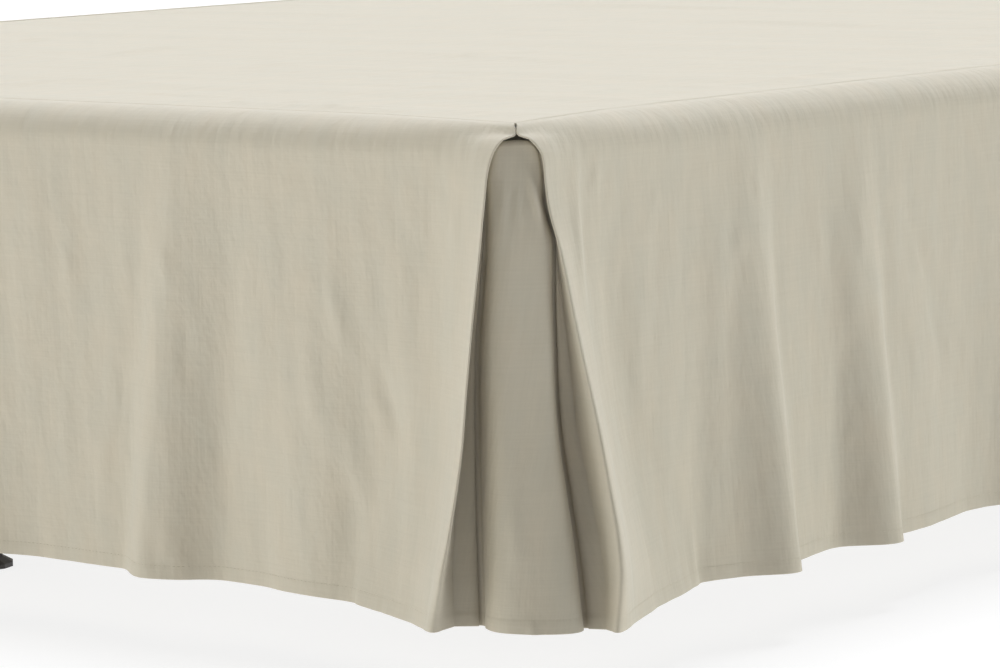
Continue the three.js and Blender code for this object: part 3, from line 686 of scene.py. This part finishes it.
def linen(name, offset):
    material, tree, shader = new_finish(
        name, Roughness=0.88, Specular_IOR_Level=0.25, Sheen_Weight=0.18, Sheen_Roughness=0.45)
    cloth = node(tree, "ShaderNodeUVMap", (-1800, 0))
    cloth.uv_map = "cloth"
    placed = node(tree, "ShaderNodeMapping", (-1600, 0), Location=offset)
    tree.links.new(cloth.outputs[0], placed.inputs["Vector"])
    noise = {}
    for level, (key, grain) in enumerate(GRAINS.items()):
        noise[key] = stretched_noise(tree, placed.outputs[0], (-1400, 300 - 300 * level), grain)
    threads = math_node(tree, "ADD", (-900, 200), noise["warp"], noise["weft"])
    tone = math_node(tree, "MULTIPLY_ADD", (-700, 200), threads, 0.5, 0.0)
    dark, light = (tuple(c * share for c in LINEN) + (1,) for share in (DARK_SHARE, LIGHT_SHARE))
    thread_colour = colour_mix(tree, (-400, 200), tone, dark, light)
    patch_colour = colour_mix(tree, (-400, -100), noise["patch"], COOL_PATCH, WARM_PATCH)
    colour = colour_mix(tree, (-200, 200), 1.0, thread_colour, patch_colour, "MULTIPLY")
    tree.links.new(colour, shader.inputs["Base Color"])
    soft = math_node(tree, "MULTIPLY_ADD", (-700, -500), noise["wrinkle"], WRINKLE_SHARE, noise["crumple"])
    hand = relief(tree, (-500, -500), soft, 0.5, HAND_RELIEF)
    weave = relief(tree, (-300, -300), threads, 0.25, WEAVE_RELIEF)
    tree.links.new(hand.outputs[0], weave.inputs["Normal"])
    tree.links.new(weave.outputs[0], shader.inputs["Normal"])
    return material


LINEN_DROP = linen("linen_drop", (0.0, 0.0, 0.0))
LINEN_DECK = linen("linen_deck", (3.1, 1.7, 0.0))
LINEN_INSERT = linen("linen_insert", (7.3, 4.2, 0.0))
print("finishes:", LINEN_DROP.name, LINEN_DECK.name, LINEN_INSERT.name)

# %% [markdown]
# ## The drops
# Each drop is one grid of rows from the seam to the hem. Near a pleat the columns close
# up, roll softly round the fold edge and run back as the return. The last finger's width
# is thicker, because the hem is turned there.

# %% Rows and columns of a drop
ROUND_ROWS = 26
ROUND_PATH = 0.080
HANGING_ROWS = 56
NEAR_STEP = 0.0045
FINE_STEP = 0.0042
FINE_ZONE = 0.640
PLAIN_STEP = 0.0085
CORNER_ZONE = CORNER_SEAM_INSET + SEAM_SWEEP
ROLL_PARTS = 4
RETURN_PARTS = 7
TIP_PARTS = 3
FIRST_RETURN = 0.0400
HEM_TOP = HEM_PATH - HEM_TURN
ABOVE_HEM = 0.0012
HEM_ROWS = [HEM_TOP, HEM_TOP + 0.0020, HEM_TOP + 0.004, HEM_TOP + 0.0075, HEM_PATH - 0.0006, HEM_PATH]
THICK_FROM = HEM_TOP + 0.0004
ROLL_AT_TOP = 0.004
ROLL_AT_HEM = 0.016
ROLL_GROWS_FROM = 0.05
ROLL_BEHIND = 0.9
ROLL_LIMIT = 0.42
ROLL_ROUND = 0.55


def row_paths():
    top = np.linspace(0, ROUND_PATH, ROUND_ROWS, endpoint=False)
    hanging = np.linspace(ROUND_PATH, HEM_TOP - ABOVE_HEM, HANGING_ROWS)
    return np.concatenate([top, hanging, HEM_ROWS])


def hem_thickness(path):
    return HEM_HALF_THICK if path > THICK_FROM else HALF_THICK


def front_roll(path):
    """How far from its fold edge the front starts to roll back."""
    growth = clamp((path - ROLL_GROWS_FROM) / (HEM_PATH - ROLL_GROWS_FROM)) ** 2
    return mix(ROLL_AT_TOP, ROLL_AT_HEM, growth)


def columns_between(start, stop, step):
    return np.linspace(start, stop, max(2, round((stop - start) / step) + 1))


def drop_columns(panel, path):
    start = fold_edge(path, getattr(panel.start, panel.side))[0] + front_roll(path)
    stop = panel.length
    near_count = round(CORNER_ZONE / NEAR_STEP)
    near = np.linspace(start, CORNER_ZONE, near_count)
    near = np.concatenate([near[:-1], columns_between(CORNER_ZONE, FINE_ZONE, FINE_STEP)])
    if not panel.end:
        return np.concatenate([near[:-1], columns_between(FINE_ZONE, stop, PLAIN_STEP)])
    stop = panel.length - CORNER_ZONE
    last = panel.length - fold_edge(path, getattr(panel.end, panel.side))[0] - front_roll(path)
    far = np.linspace(stop, last, near_count)
    return np.concatenate([near[:-1], columns_between(FINE_ZONE, stop, PLAIN_STEP), far[1:]])


def turn_of_pleat(panel, pleat, path, front):
    """The roll round a fold edge, and the return behind it, from its front point.

    front and the answers are (s, out, height), with s measured from this pleat.
    """
    along, out, down = fold_edge(path, getattr(pleat, panel.side))
    edge = np.array([along, out, TOP - down], float)
    parts = np.arange(1, ROLL_PARTS + 1) / ROLL_PARTS
    if path < FIRST_RETURN:
        return front + (edge - front) * parts[:, None], None
    end_s, end_out = return_end(down, panel.side, pleat, hem_thickness(path))
    end = np.array([end_s, end_out, TOP - down], float)
    length = np.linalg.norm(end - edge)
    roll = min(front_roll(path) * ROLL_BEHIND, ROLL_LIMIT * length)
    back = edge + (end - edge) * roll / length
    outward = edge - (front + back) / 2
    peak = edge + outward * ROLL_ROUND
    t = np.linspace(0, 1, 2 * ROLL_PARTS + 1)[1:, None]
    curve = (1 - t) ** 2 * front + 2 * t * (1 - t) * peak + t**2 * back
    tip = np.array([*return_tip(down, panel.side, pleat, hem_thickness(path)), TOP - down], float)
    rest = back + (end - back) * (np.arange(1, RETURN_PARTS + 1) / RETURN_PARTS)[:, None]
    last = end + (tip - end) * (np.arange(1, TIP_PARTS + 1) / TIP_PARTS)[:, None]
    return curve[:ROLL_PARTS], np.concatenate([curve[ROLL_PARTS:], rest, last])


def from_other_end(panel, points):
    """Points told from one end of a panel, told from its other end."""
    return points * [-1, 1, 1] + [panel.length, 0, 0]


def drop_piece(panel, material):
    """One drop, and the line that its hem stitches follow."""
    cloth = Cloth()
    rows, near_strips, far_strips = [], [], []
    for path in row_paths():
        s = drop_columns(panel, path)
        out, z = face_out(panel, path, s)
        line = np.stack([s, out, z], 1)
        near_roll, near_back = turn_of_pleat(panel, panel.start, path, line[0])
        whole = [near_roll[::-1], line]
        if panel.end:
            mirrored = from_other_end(panel, line[-1])
            far_roll, far_back = turn_of_pleat(panel, panel.end, path, mirrored)
            whole.append(from_other_end(panel, far_roll))
        half = hem_thickness(path)

        def put(points):
            x, y = panel.place(points[:, 0], points[:, 1])
            return cloth.row(np.stack([x, y, points[:, 2]], 1),
                             np.stack([points[:, 0], np.full(len(points), path)], 1), half)

        rows.append(put(np.concatenate(whole)))
        if near_back is not None:
            near_strips.append(np.concatenate([rows[-1][:1], put(near_back)])[::-1])
            if panel.end:
                far_strip = put(from_other_end(panel, far_back))
                far_strips.append(np.concatenate([rows[-1][-1:], far_strip]))
        if path == HEM_TOP:
            hem_line = line
    cloth.fill(rows)
    cloth.fill(near_strips)
    if far_strips:
        cloth.fill(far_strips)
    return cloth.build(f"linen_drop_{panel.name}", material), hem_line


drops = {panel.name: drop_piece(panel, LINEN_DROP) for panel in (FOOT, RIGHT, LEFT)}

# %% [markdown]
# ## The inserts
# The insert's cross-section is a soft line through its named columns: lap, valley, flank,
# front, and the same again on the other side. Small creases lie on its front.

# %% Inserts
INSERT_ROWS = 78
PER_COLUMN = 6
LAP_SHARE = 0.5
HEM_PART = 1 - HEM_TURN / DROP
HEM_PARTS = [HEM_PART, HEM_PART + 0.002, (1 + HEM_PART) / 2, 0.9985, 1]
INSERT_CREASES = [
    Crease(-0.009, 0.030, -0.014, 0.100, 0.0035, 0.0012),
    Crease(0.001, 0.036, -0.002, 0.090, 0.0030, 0.0012),
    Crease(0.006, 0.026, 0.021, 0.088, 0.0036, 0.0034),
    Crease(0.015, 0.040, 0.026, 0.100, 0.0030, -0.0014),
    Crease(0.003, 0.070, 0.000, 0.330, 0.012, -0.0020),
    Crease(0.020, 0.080, 0.020, 0.260, 0.006, 0.0014),
    Crease(-0.014, 0.270, -0.010, 0.350, 0.006, 0.0014),
    Crease(-0.002, 0.365, 0.000, 0.398, 0.004, 0.0016),
]


def soft_line(points, per):
    """A Catmull-Rom line through rows of points: (columns, xyz) to finer columns."""
    padded = np.concatenate([[2 * points[0] - points[1]], points, [2 * points[-1] - points[-2]]])
    made = []
    for i in range(len(points) - 1):
        a, b, c, d = padded[i:i + 4]
        for k in range(per):
            t = k / per
            made.append(0.5 * (2 * b + (c - a) * t + (2 * a - 5 * b + 4 * c - d) * t**2
                               + (3 * b - a - 3 * c + d) * t**3))
    return np.array([*made, points[-1]])


def lap_end(panel, end, down):
    path = size_at(PLEAT_EDGE, "down", "path", down)
    out = flare(path, end, INSERT_LAP, panel.lean)[0]
    out = out + fold_out(panel.folds, panel.lean, INSERT_LAP, down / DROP)
    return INSERT_LAP, LAP_SHARE * np.maximum(out, 0) - INSERT_BEHIND


def insert_point(column, side, part, pleat):
    """Along the foot, along the side and down of one column, at a part of its height."""
    down = mix(column.top, DROP, part)
    across = TOWARDS[side] * column.across * station(side + "_half", down)
    inward = station("front", down) + column.back * station(side + "_valley", down)
    inward = inward - column.proud * INSERT_BULGE * down / DROP - pleat.turn * across * down / DROP
    return [*from_diagonal(across, inward), down]


def behind_drop(share, part, pleat, panel):
    """One column past the valley: share runs from the valley's far side to the lap's end."""
    side = panel.side
    down = mix(mix(VALLEY_TOP, LAP_TOP, share), DROP, part)
    across = TOWARDS[side] * (return_across(down, side, pleat) + VALLEY_PAST)
    inward = station("front", down) + station(side + "_valley", down)
    inward = inward + valley_slope(down) - pleat.turn * across * down / DROP
    valley_foot, valley_side = from_diagonal(across, inward)
    lap_s, lap_out = lap_end(panel, getattr(pleat, side), down)
    ends = (lap_s, -lap_out) if side == "foot" else (-lap_out, lap_s)
    return [mix(valley_foot, ends[0], share), mix(valley_side, ends[1], share), down]


def insert_row(part, pleat, side_panel):
    halves = {}
    for side, panel in (("foot", FOOT), ("side", side_panel)):
        hidden = [behind_drop(share, part, pleat, panel) for share in (1.0, 0.5, 0.0)]
        halves[side] = hidden + [insert_point(column, side, part, pleat) for column in INSERT_COLUMNS]
    points = halves["foot"] + [insert_point(MIDDLE, "side", part, pleat)] + halves["side"][::-1]
    return soft_line(np.array(points, float), PER_COLUMN)


def insert_piece(name, pleat, side_panel, place, material):
    cloth = Cloth()
    rows = []
    for part in [*np.linspace(0, HEM_PART - 0.002, INSERT_ROWS), *HEM_PARTS]:
        line = insert_row(part, pleat, side_panel)
        foot, side, down = line.T
        across, inward = (side - foot) * math.sqrt(0.5), (side + foot) * math.sqrt(0.5)
        inward = inward - crease_out(INSERT_CREASES, across, down)
        foot, side = from_diagonal(across, inward)
        x, y = place(foot, side)
        run = np.concatenate([[0], np.cumsum(np.hypot(np.diff(foot), np.diff(side)))])
        half = HEM_HALF_THICK if part > HEM_PARTS[0] else HALF_THICK
        rows.append(cloth.row(np.stack([x, y, TOP - down], 1), np.stack([run, down], 1), half))
    cloth.fill(rows)
    return cloth.build(name, material)


inserts = {
    "right": insert_piece("linen_insert_right", RIGHT_PLEAT, RIGHT,
                          lambda foot, side: (SIDES.right - foot, SIDES.foot + side), LINEN_INSERT),
    "left": insert_piece("linen_insert_left", LEFT_PLEAT, LEFT,
                         lambda foot, side: (SIDES.left + foot, SIDES.foot + side), LINEN_INSERT),
}

# %% [markdown]
# ## The deck
# The deck is one flat sheet between the seams, open at the head. Its edges follow the
# seams, which draw out towards the corners. Long soft wrinkles run across it where the
# cloth was pulled square by hand.

# %% Deck
DECK_SEAM_GAP = 0.0004
DECK_HEAD_INSET = 0.034
SEAM_DIP = 0.0009
SEAM_DIP_WIDTH = 0.004
DECK_CLEAR = 0.0003
DECK_FINE = 0.62
DECK_SEED = 21
DECK_UNEVEN = 0.0005
CREASE_FADE = 0.02
UNEVEN_FADE = 0.03
ACROSS_STEPS = (0.0075, 0.0085)
ALONG_STEPS = (0.0065, 0.0075, 0.014)
# along: from the right foot corner along the foot; inward: from the foot towards the head
DECK_CREASES = [
    Crease(0.411, 0.068, 0.409, 0.119, 0.010, 0.0016),
    Crease(0.360, 0.055, 0.346, 0.098, 0.010, 0.0018),
    Crease(0.320, 0.098, 0.324, 0.133, 0.010, 0.0012),
    Crease(0.240, 0.040, 0.254, 0.104, 0.010, 0.0016),
    Crease(1.176, 0.625, 1.190, 0.731, 0.014, 0.0030),
    Crease(0.916, 0.488, 0.966, 0.708, 0.016, 0.0032),
    Crease(0.688, 0.137, 0.708, 0.240, 0.012, 0.0022),
    Crease(0.793, 0.320, 0.764, 0.424, 0.014, -0.0022),
    Crease(0.660, 0.407, 0.669, 0.558, 0.014, 0.0020),
    Crease(0.339, 0.240, 0.330, 0.350, 0.012, 0.0014),
    Crease(0.139, 0.230, 0.193, 0.411, 0.012, 0.0014),
    Crease(0.587, 0.593, 0.556, 0.768, 0.014, 0.0020),
    Crease(0.407, 0.667, 0.390, 0.869, 0.014, -0.0016),
    Crease(0.10, 0.060, 0.42, 0.085, 0.010, 0.0020),
    Crease(0.16, 0.105, 0.36, 0.090, 0.007, -0.0014),
    Crease(0.30, 0.120, 0.62, 0.150, 0.010, 0.0018),
    Crease(0.42, 0.070, 0.75, 0.100, 0.009, -0.0014),
    Crease(0.50, 0.220, 0.95, 0.260, 0.013, 0.0026),
    Crease(0.62, 0.170, 1.05, 0.150, 0.011, 0.0018),
    Crease(0.70, 0.330, 1.20, 0.300, 0.014, -0.0022),
    Crease(0.85, 0.450, 1.35, 0.520, 0.015, 0.0030),
    Crease(0.06, 0.140, 0.10, 0.420, 0.010, -0.0014),
    Crease(0.09, 0.380, 0.14, 0.760, 0.012, 0.0018),
    Crease(0.35, 0.620, 0.90, 0.700, 0.018, 0.0024),
    Crease(0.70, 0.900, 1.20, 0.840, 0.018, -0.0020),
    Crease(0.30, 1.180, 0.80, 1.260, 0.018, 0.0024),
    Crease(0.75, 1.480, 1.25, 1.420, 0.018, 0.0022),
]


def seam_line(s, far=None):
    from_pleat = s if far is None else np.minimum(s, far)
    return SEAM_INSET * seam_share(from_pleat) + DECK_SEAM_GAP


def deck_piece(material):
    corner = CORNER_SEAM_INSET + DECK_SEAM_GAP
    end = LENGTH - DECK_HEAD_INSET
    sweep = CORNER_ZONE
    lowest = base_high.z + HALF_THICK + DECK_CLEAR
    across_s = np.concatenate([columns_between(corner, sweep, ACROSS_STEPS[0])[:-1],
                               columns_between(sweep, WIDTH - sweep, ACROSS_STEPS[1]),
                               columns_between(WIDTH - sweep, WIDTH - corner, ACROSS_STEPS[0])[1:]])
    along_t = np.concatenate([columns_between(corner, sweep, ALONG_STEPS[0])[:-1],
                              columns_between(sweep, DECK_FINE, ALONG_STEPS[1])[:-1],
                              columns_between(DECK_FINE, end, ALONG_STEPS[2])])
    part_s = (across_s - corner) / (WIDTH - 2 * corner)
    foot_inset = seam_line(across_s, WIDTH - across_s)
    cloth = Cloth()
    rows = []
    for t in along_t:
        part_t = (t - corner) / (end - corner)
        side_inset = seam_line(t)
        s = mix(side_inset, WIDTH - side_inset, part_s)
        inward = t + (foot_inset - corner) * (1 - part_t)
        to_seam = np.minimum(np.minimum(s - side_inset, WIDTH - side_inset - s), inward - foot_inset)
        z = TOP + crease_out(DECK_CREASES, s, inward) * clamp(to_seam / CREASE_FADE)
        z = z + unevenness(DECK_SEED, inward, s, DECK_UNEVEN) * clamp(to_seam / UNEVEN_FADE)
        z = np.maximum(z - SEAM_DIP * fade(to_seam / SEAM_DIP_WIDTH), lowest)
        points = np.stack([SIDES.right - s, SIDES.foot + inward, z], 1)
        rows.append(cloth.row(points, np.stack([s, inward], 1)))
    cloth.fill(rows)
    return cloth.build("linen_deck", material)


deck = deck_piece(LINEN_DECK)

# %% [markdown]
# ## Hem stitches
# The hem is turned once and sewn with a short straight stitch. A stitch is tiny and
# repeats along a line, so a Geometry Nodes tree sets one small thread shape on points
# along the hem line, at a named spacing.

# %% Stitches
STITCH_SPACING = 0.0042
STITCH_LENGTH = 0.0030
THREAD_RADIUS = 0.00022
STITCH_LIFT = 0.7
DARK_THREAD, LIGHT_THREAD = (0.55, 0.50, 0.40, 1), (0.66, 0.61, 0.50, 1)


def thread_material():
    material, tree, shader = new_finish("linen_thread", Roughness=0.7)
    where = node(tree, "ShaderNodeTexCoord", (-800, 0))
    twist = node(tree, "ShaderNodeTexNoise", (-600, 0), Scale=900.0, Detail=1.0)
    tree.links.new(where.outputs["Object"], twist.inputs["Vector"])
    tone = colour_mix(tree, (-300, 0), twist.outputs[0], DARK_THREAD, LIGHT_THREAD)
    tree.links.new(tone, shader.inputs["Base Color"])
    return material


THREAD = thread_material()


def stitch_tree():
    tree = bpy.data.node_groups.new("stitches_on_a_line", "GeometryNodeTree")
    face = tree.interface
    face.new_socket("Line", in_out="INPUT", socket_type="NodeSocketGeometry")
    for label in ("Spacing", "Stitch length", "Thread radius"):
        face.new_socket(label, in_out="INPUT", socket_type="NodeSocketFloat")
    face.new_socket("Thread", in_out="INPUT", socket_type="NodeSocketMaterial")
    face.new_socket("Stitches", in_out="OUTPUT", socket_type="NodeSocketGeometry")
    nodes = tree.nodes
    given, made = nodes.new("NodeGroupInput"), nodes.new("NodeGroupOutput")
    curve = nodes.new("GeometryNodeMeshToCurve")
    points = nodes.new("GeometryNodeCurveToPoints")
    points.mode = "LENGTH"
    thread = node(tree, "GeometryNodeMeshUVSphere", (0, 0), Segments=6, Rings=4, Radius=1.0)
    size = nodes.new("ShaderNodeCombineXYZ")
    turn = nodes.new("FunctionNodeAlignRotationToVector")
    turn.axis = "Z"
    place = nodes.new("GeometryNodeInstanceOnPoints")
    real = nodes.new("GeometryNodeRealizeInstances")
    paint = nodes.new("GeometryNodeSetMaterial")
    half_length = math_node(tree, "MULTIPLY", (0, 0), given.outputs["Stitch length"], 0.5)
    for source, socket in (
        (given.outputs["Line"], curve.inputs[0]),
        (curve.outputs[0], points.inputs[0]),
        (given.outputs["Spacing"], points.inputs["Length"]),
        (given.outputs["Thread radius"], size.inputs[0]),
        (given.outputs["Thread radius"], size.inputs[1]),
        (half_length, size.inputs[2]),
        (points.outputs["Tangent"], turn.inputs["Vector"]),
        (points.outputs["Points"], place.inputs["Points"]),
        (thread.outputs["Mesh"], place.inputs["Instance"]),
        (turn.outputs[0], place.inputs["Rotation"]),
        (size.outputs[0], place.inputs["Scale"]),
        (place.outputs[0], real.inputs[0]),
        (real.outputs[0], paint.inputs[0]),
        (given.outputs["Thread"], paint.inputs["Material"]),
        (paint.outputs[0], made.inputs[0]),
    ):
        tree.links.new(source, socket)
    return tree


STITCHES = stitch_tree()


def finished_nodes(carrier, tree, values, name):
    """Runs a tree on a carrier, with its inputs set by identifier, and keeps the mesh."""
    modifier = carrier.modifiers.new("made", "NODES")
    modifier.node_group = tree
    for item in tree.interface.items_tree:
        if item.in_out == "INPUT" and item.name in values:
            modifier[item.identifier] = values[item.name]
    bpy.context.view_layer.update()
    graph = bpy.context.evaluated_depsgraph_get()
    mesh = bpy.data.meshes.new_from_object(carrier.evaluated_get(graph))
    mesh.name = name
    carrier.modifiers.remove(modifier)
    bpy.data.objects.remove(carrier)
    return add_object(name, mesh)


def stitched(points, name):
    line = bpy.data.meshes.new("line")
    line.from_pydata(points.tolist(), [(i, i + 1) for i in range(len(points) - 1)], [])
    carrier = add_object("line", line)
    values = {"Spacing": STITCH_SPACING, "Stitch length": STITCH_LENGTH,
              "Thread radius": THREAD_RADIUS, "Thread": THREAD}
    piece = finished_nodes(carrier, STITCHES, values, name)
    print(f"{name}: {len(piece.data.polygons)} faces")
    return piece


def stitch_points(panel, line):
    """The hem line of a drop, lifted to the outer side of the cloth."""
    out = line[:, 1] + HALF_THICK + STITCH_LIFT * THREAD_RADIUS
    x, y = panel.place(line[:, 0], out)
    return np.stack([x, y, line[:, 2]], 1)


stitches = {}
for panel in (FOOT, RIGHT, LEFT):
    points = stitch_points(panel, drops[panel.name][1])
    stitches[panel.name] = stitched(points, f"hem_stitches_{panel.name}")

# %% [markdown]
# ## The base, its legs and glides
# The skirt hides a plain foundation. The box is covered in a pale woven ticking, its legs
# are dark metal tubes, and each stands on a flared dark glide, which is the only part of
# the base that peeps out below the hem.


# %% Plain finishes of the base
Look = namedtuple("Look", "dark light grain roughness relief metallic")
TICKING_LOOK = Look((0.40, 0.385, 0.35, 1), (0.50, 0.485, 0.45, 1), 420.0, 0.9, 0.0004, 0.0)
LEG_LOOK = Look((0.035, 0.028, 0.024, 1), (0.055, 0.045, 0.038, 1), 60.0, 0.45, 0.0001, 0.4)
GLIDE_LOOK = Look((0.012, 0.009, 0.008, 1), (0.025, 0.020, 0.018, 1), 80.0, 0.4, 0.0001, 0.0)


def plain_finish(name, look):
    material, tree, shader = new_finish(name, Roughness=look.roughness, Metallic=look.metallic)
    where = node(tree, "ShaderNodeTexCoord", (-900, 0))
    grain = node(tree, "ShaderNodeTexNoise", (-700, 0), Scale=look.grain, Detail=3.0)
    tree.links.new(where.outputs["Object"], grain.inputs["Vector"])
    tone = colour_mix(tree, (-400, 100), grain.outputs[0], look.dark, look.light)
    tree.links.new(tone, shader.inputs["Base Color"])
    bump = relief(tree, (-400, -200), grain.outputs[0], 0.3, look.relief)
    tree.links.new(bump.outputs[0], shader.inputs["Normal"])
    return material


TICKING = plain_finish("base_ticking", TICKING_LOOK)
LEG_PAINT = plain_finish("leg_paint", LEG_LOOK)
GLIDE_PLASTIC = plain_finish("glide_finish", GLIDE_LOOK)
print("base finishes:", TICKING.name, LEG_PAINT.name, GLIDE_PLASTIC.name)

# %% [markdown]
# ## Which part of the base has which finish
# The base, its legs and its glides stay as they were packed. Each takes its finish by the
# start of its name.

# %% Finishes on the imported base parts
FINISHES = {"bed_base": TICKING, "leg_": LEG_PAINT, "glide_": GLIDE_PLASTIC}
finished = 0
for name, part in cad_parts.items():
    for start, finish in FINISHES.items():
        if name.startswith(start):
            part.data.materials.clear()
            part.data.materials.append(finish)
            finished += 1
print("finished base parts:", finished)

# %% [markdown]
# ## What each piece is
# Every sheet of cloth rides on the one body and stands for the imported solid that it follows, which is
# hidden.


def dress(piece, node_name, extra=()):
    for each in (piece, *extra):
        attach(each, "root")
    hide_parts(node_name)


dress(deck, "deck")
for panel, node_name in ((FOOT, "foot_drop"), (RIGHT, "side_drop_right"), (LEFT, "side_drop_left")):
    thread = [stitches[panel.name]]
    dress(drops[panel.name][0], node_name, thread)
for side, node_name in (("right", "corner_insert_right"), ("left", "corner_insert_left")):
    dress(inserts[side], node_name)
print("sheets:", 1 + len(drops) + len(inserts))

# %% [markdown]
# ## Floor
# The floor is plain and looks pale. Its own colour is a mid grey, so that it throws
# little light back up into the pleat, and it glows to look nearly white.

# %% Floor
FLOOR_HALF = 300.0
FLOOR_GREY = 0.25
FLOOR_GLOW = 0.8


def floor_piece():
    corners = [(x * FLOOR_HALF, y * FLOOR_HALF, 0) for x, y in ((-1, -1), (1, -1), (1, 1), (-1, 1))]
    mesh = bpy.data.meshes.new("floor")
    mesh.from_pydata(corners, [], [(0, 1, 2, 3)])
    material, _, _ = new_finish(
        "pale_floor", Base_Color=(FLOOR_GREY, FLOOR_GREY, FLOOR_GREY, 1), Roughness=0.95,
        Specular_IOR_Level=0.0, Emission_Color=(1, 1, 1, 1), Emission_Strength=FLOOR_GLOW)
    mesh.materials.append(material)
    return add_object("floor", mesh)


floor = floor_piece()
print("floor:", 2 * FLOOR_HALF, "metres wide")

# %% [markdown]
# ## Light
# The light is what a studio gives a soft thing: a large soft box low at each side, which
# draws every fold, one high behind the bed for the deck, and a weak one nearer the front
# at the left. FACING is the azimuth at which the camera stands, so the lights keep their
# places round its view.

# %% Light
CAMERA_TURN = 0.675713
FACING = math.degrees(CAMERA_TURN)
SOFT_ANGLE = 40
Light = namedtuple("Light", "name azimuth elevation strength colour")
LIGHTS = [
    Light("left_light", FACING - 90, 8, 1.58, (0.965, 1.0, 1.04)),
    Light("right_light", FACING + 90, 8, 2.00, (0.965, 1.0, 0.975)),
    Light("back_light", FACING + 180, 62, 3.71, (0.98, 1.0, 1.06)),
    Light("left_fill", FACING - 60, 8, 0.64, (1.03, 1.0, 0.80)),
]
SURROUND = (1.0, 0.995, 0.985, 1)
SURROUND_STRENGTH = 0.01


def sun(light):
    """A soft source far away. Azimuth 0 stands at the foot of the bed, 90 degrees at its right."""
    data = bpy.data.lights.new(light.name, "SUN")
    data.energy, data.angle, data.color = light.strength, math.radians(SOFT_ANGLE), light.colour
    a, e = math.radians(light.azimuth), math.radians(light.elevation)
    back = Vector((math.sin(a) * math.cos(e), -math.cos(a) * math.cos(e), math.sin(e)))
    add_object(light.name, data).rotation_euler = back.to_track_quat("Z", "Y").to_euler()
    print(f"{light.name}: strength {light.strength}, {light.elevation} degrees up")


for light in LIGHTS:
    sun(light)
world = bpy.data.worlds.new("surround")
world.use_nodes = True
surround = world.node_tree.nodes["Background"]
surround.inputs["Color"].default_value = SURROUND
surround.inputs["Strength"].default_value = SURROUND_STRENGTH
bpy.context.scene.world = world
bpy.context.scene.view_settings.view_transform = "Standard"

# %% [markdown]
# ## Camera
# The camera stands a little above the deck and looks at the right foot corner along its
# diagonal, with a long lens.

# %% Camera
FOCAL_LENGTH = 158.93
SENSOR_WIDTH = 36.0
LOOK_DOWN = 0.12378
ROLL = math.radians(1.0238)
DISTANCE = 3.331157
HEIGHT_OVER_DECK = 0.256122
ASIDE = 0.0165917
NEAREST, FARTHEST = 0.05, 500.0


def aim_camera():
    data = bpy.data.cameras.new("camera")
    data.lens, data.sensor_width, data.sensor_fit = FOCAL_LENGTH, SENSOR_WIDTH, "HORIZONTAL"
    data.clip_start, data.clip_end = NEAREST, FARTHEST
    camera = add_object("camera", data)
    up_world = Vector((0, 0, 1))
    ahead = Vector((-math.sin(CAMERA_TURN), math.cos(CAMERA_TURN), 0))
    right = Vector((math.cos(CAMERA_TURN), math.sin(CAMERA_TURN), 0))
    look = ahead * math.cos(LOOK_DOWN) - up_world * math.sin(LOOK_DOWN)
    up = ahead * math.sin(LOOK_DOWN) + up_world * math.cos(LOOK_DOWN)
    corner = Vector((SIDES.right, SIDES.foot, TOP))
    spot = corner - ahead * DISTANCE - right * ASIDE + up_world * HEIGHT_OVER_DECK
    x_axis = right * math.cos(ROLL) - up * math.sin(ROLL)
    y_axis = right * math.sin(ROLL) + up * math.cos(ROLL)
    camera.matrix_world = Matrix.Translation(spot) @ Matrix(
        (x_axis, y_axis, -look)).transposed().to_4x4()
    bpy.context.scene.camera = camera
    print("camera at", [round(v, 3) for v in spot])


aim_camera()
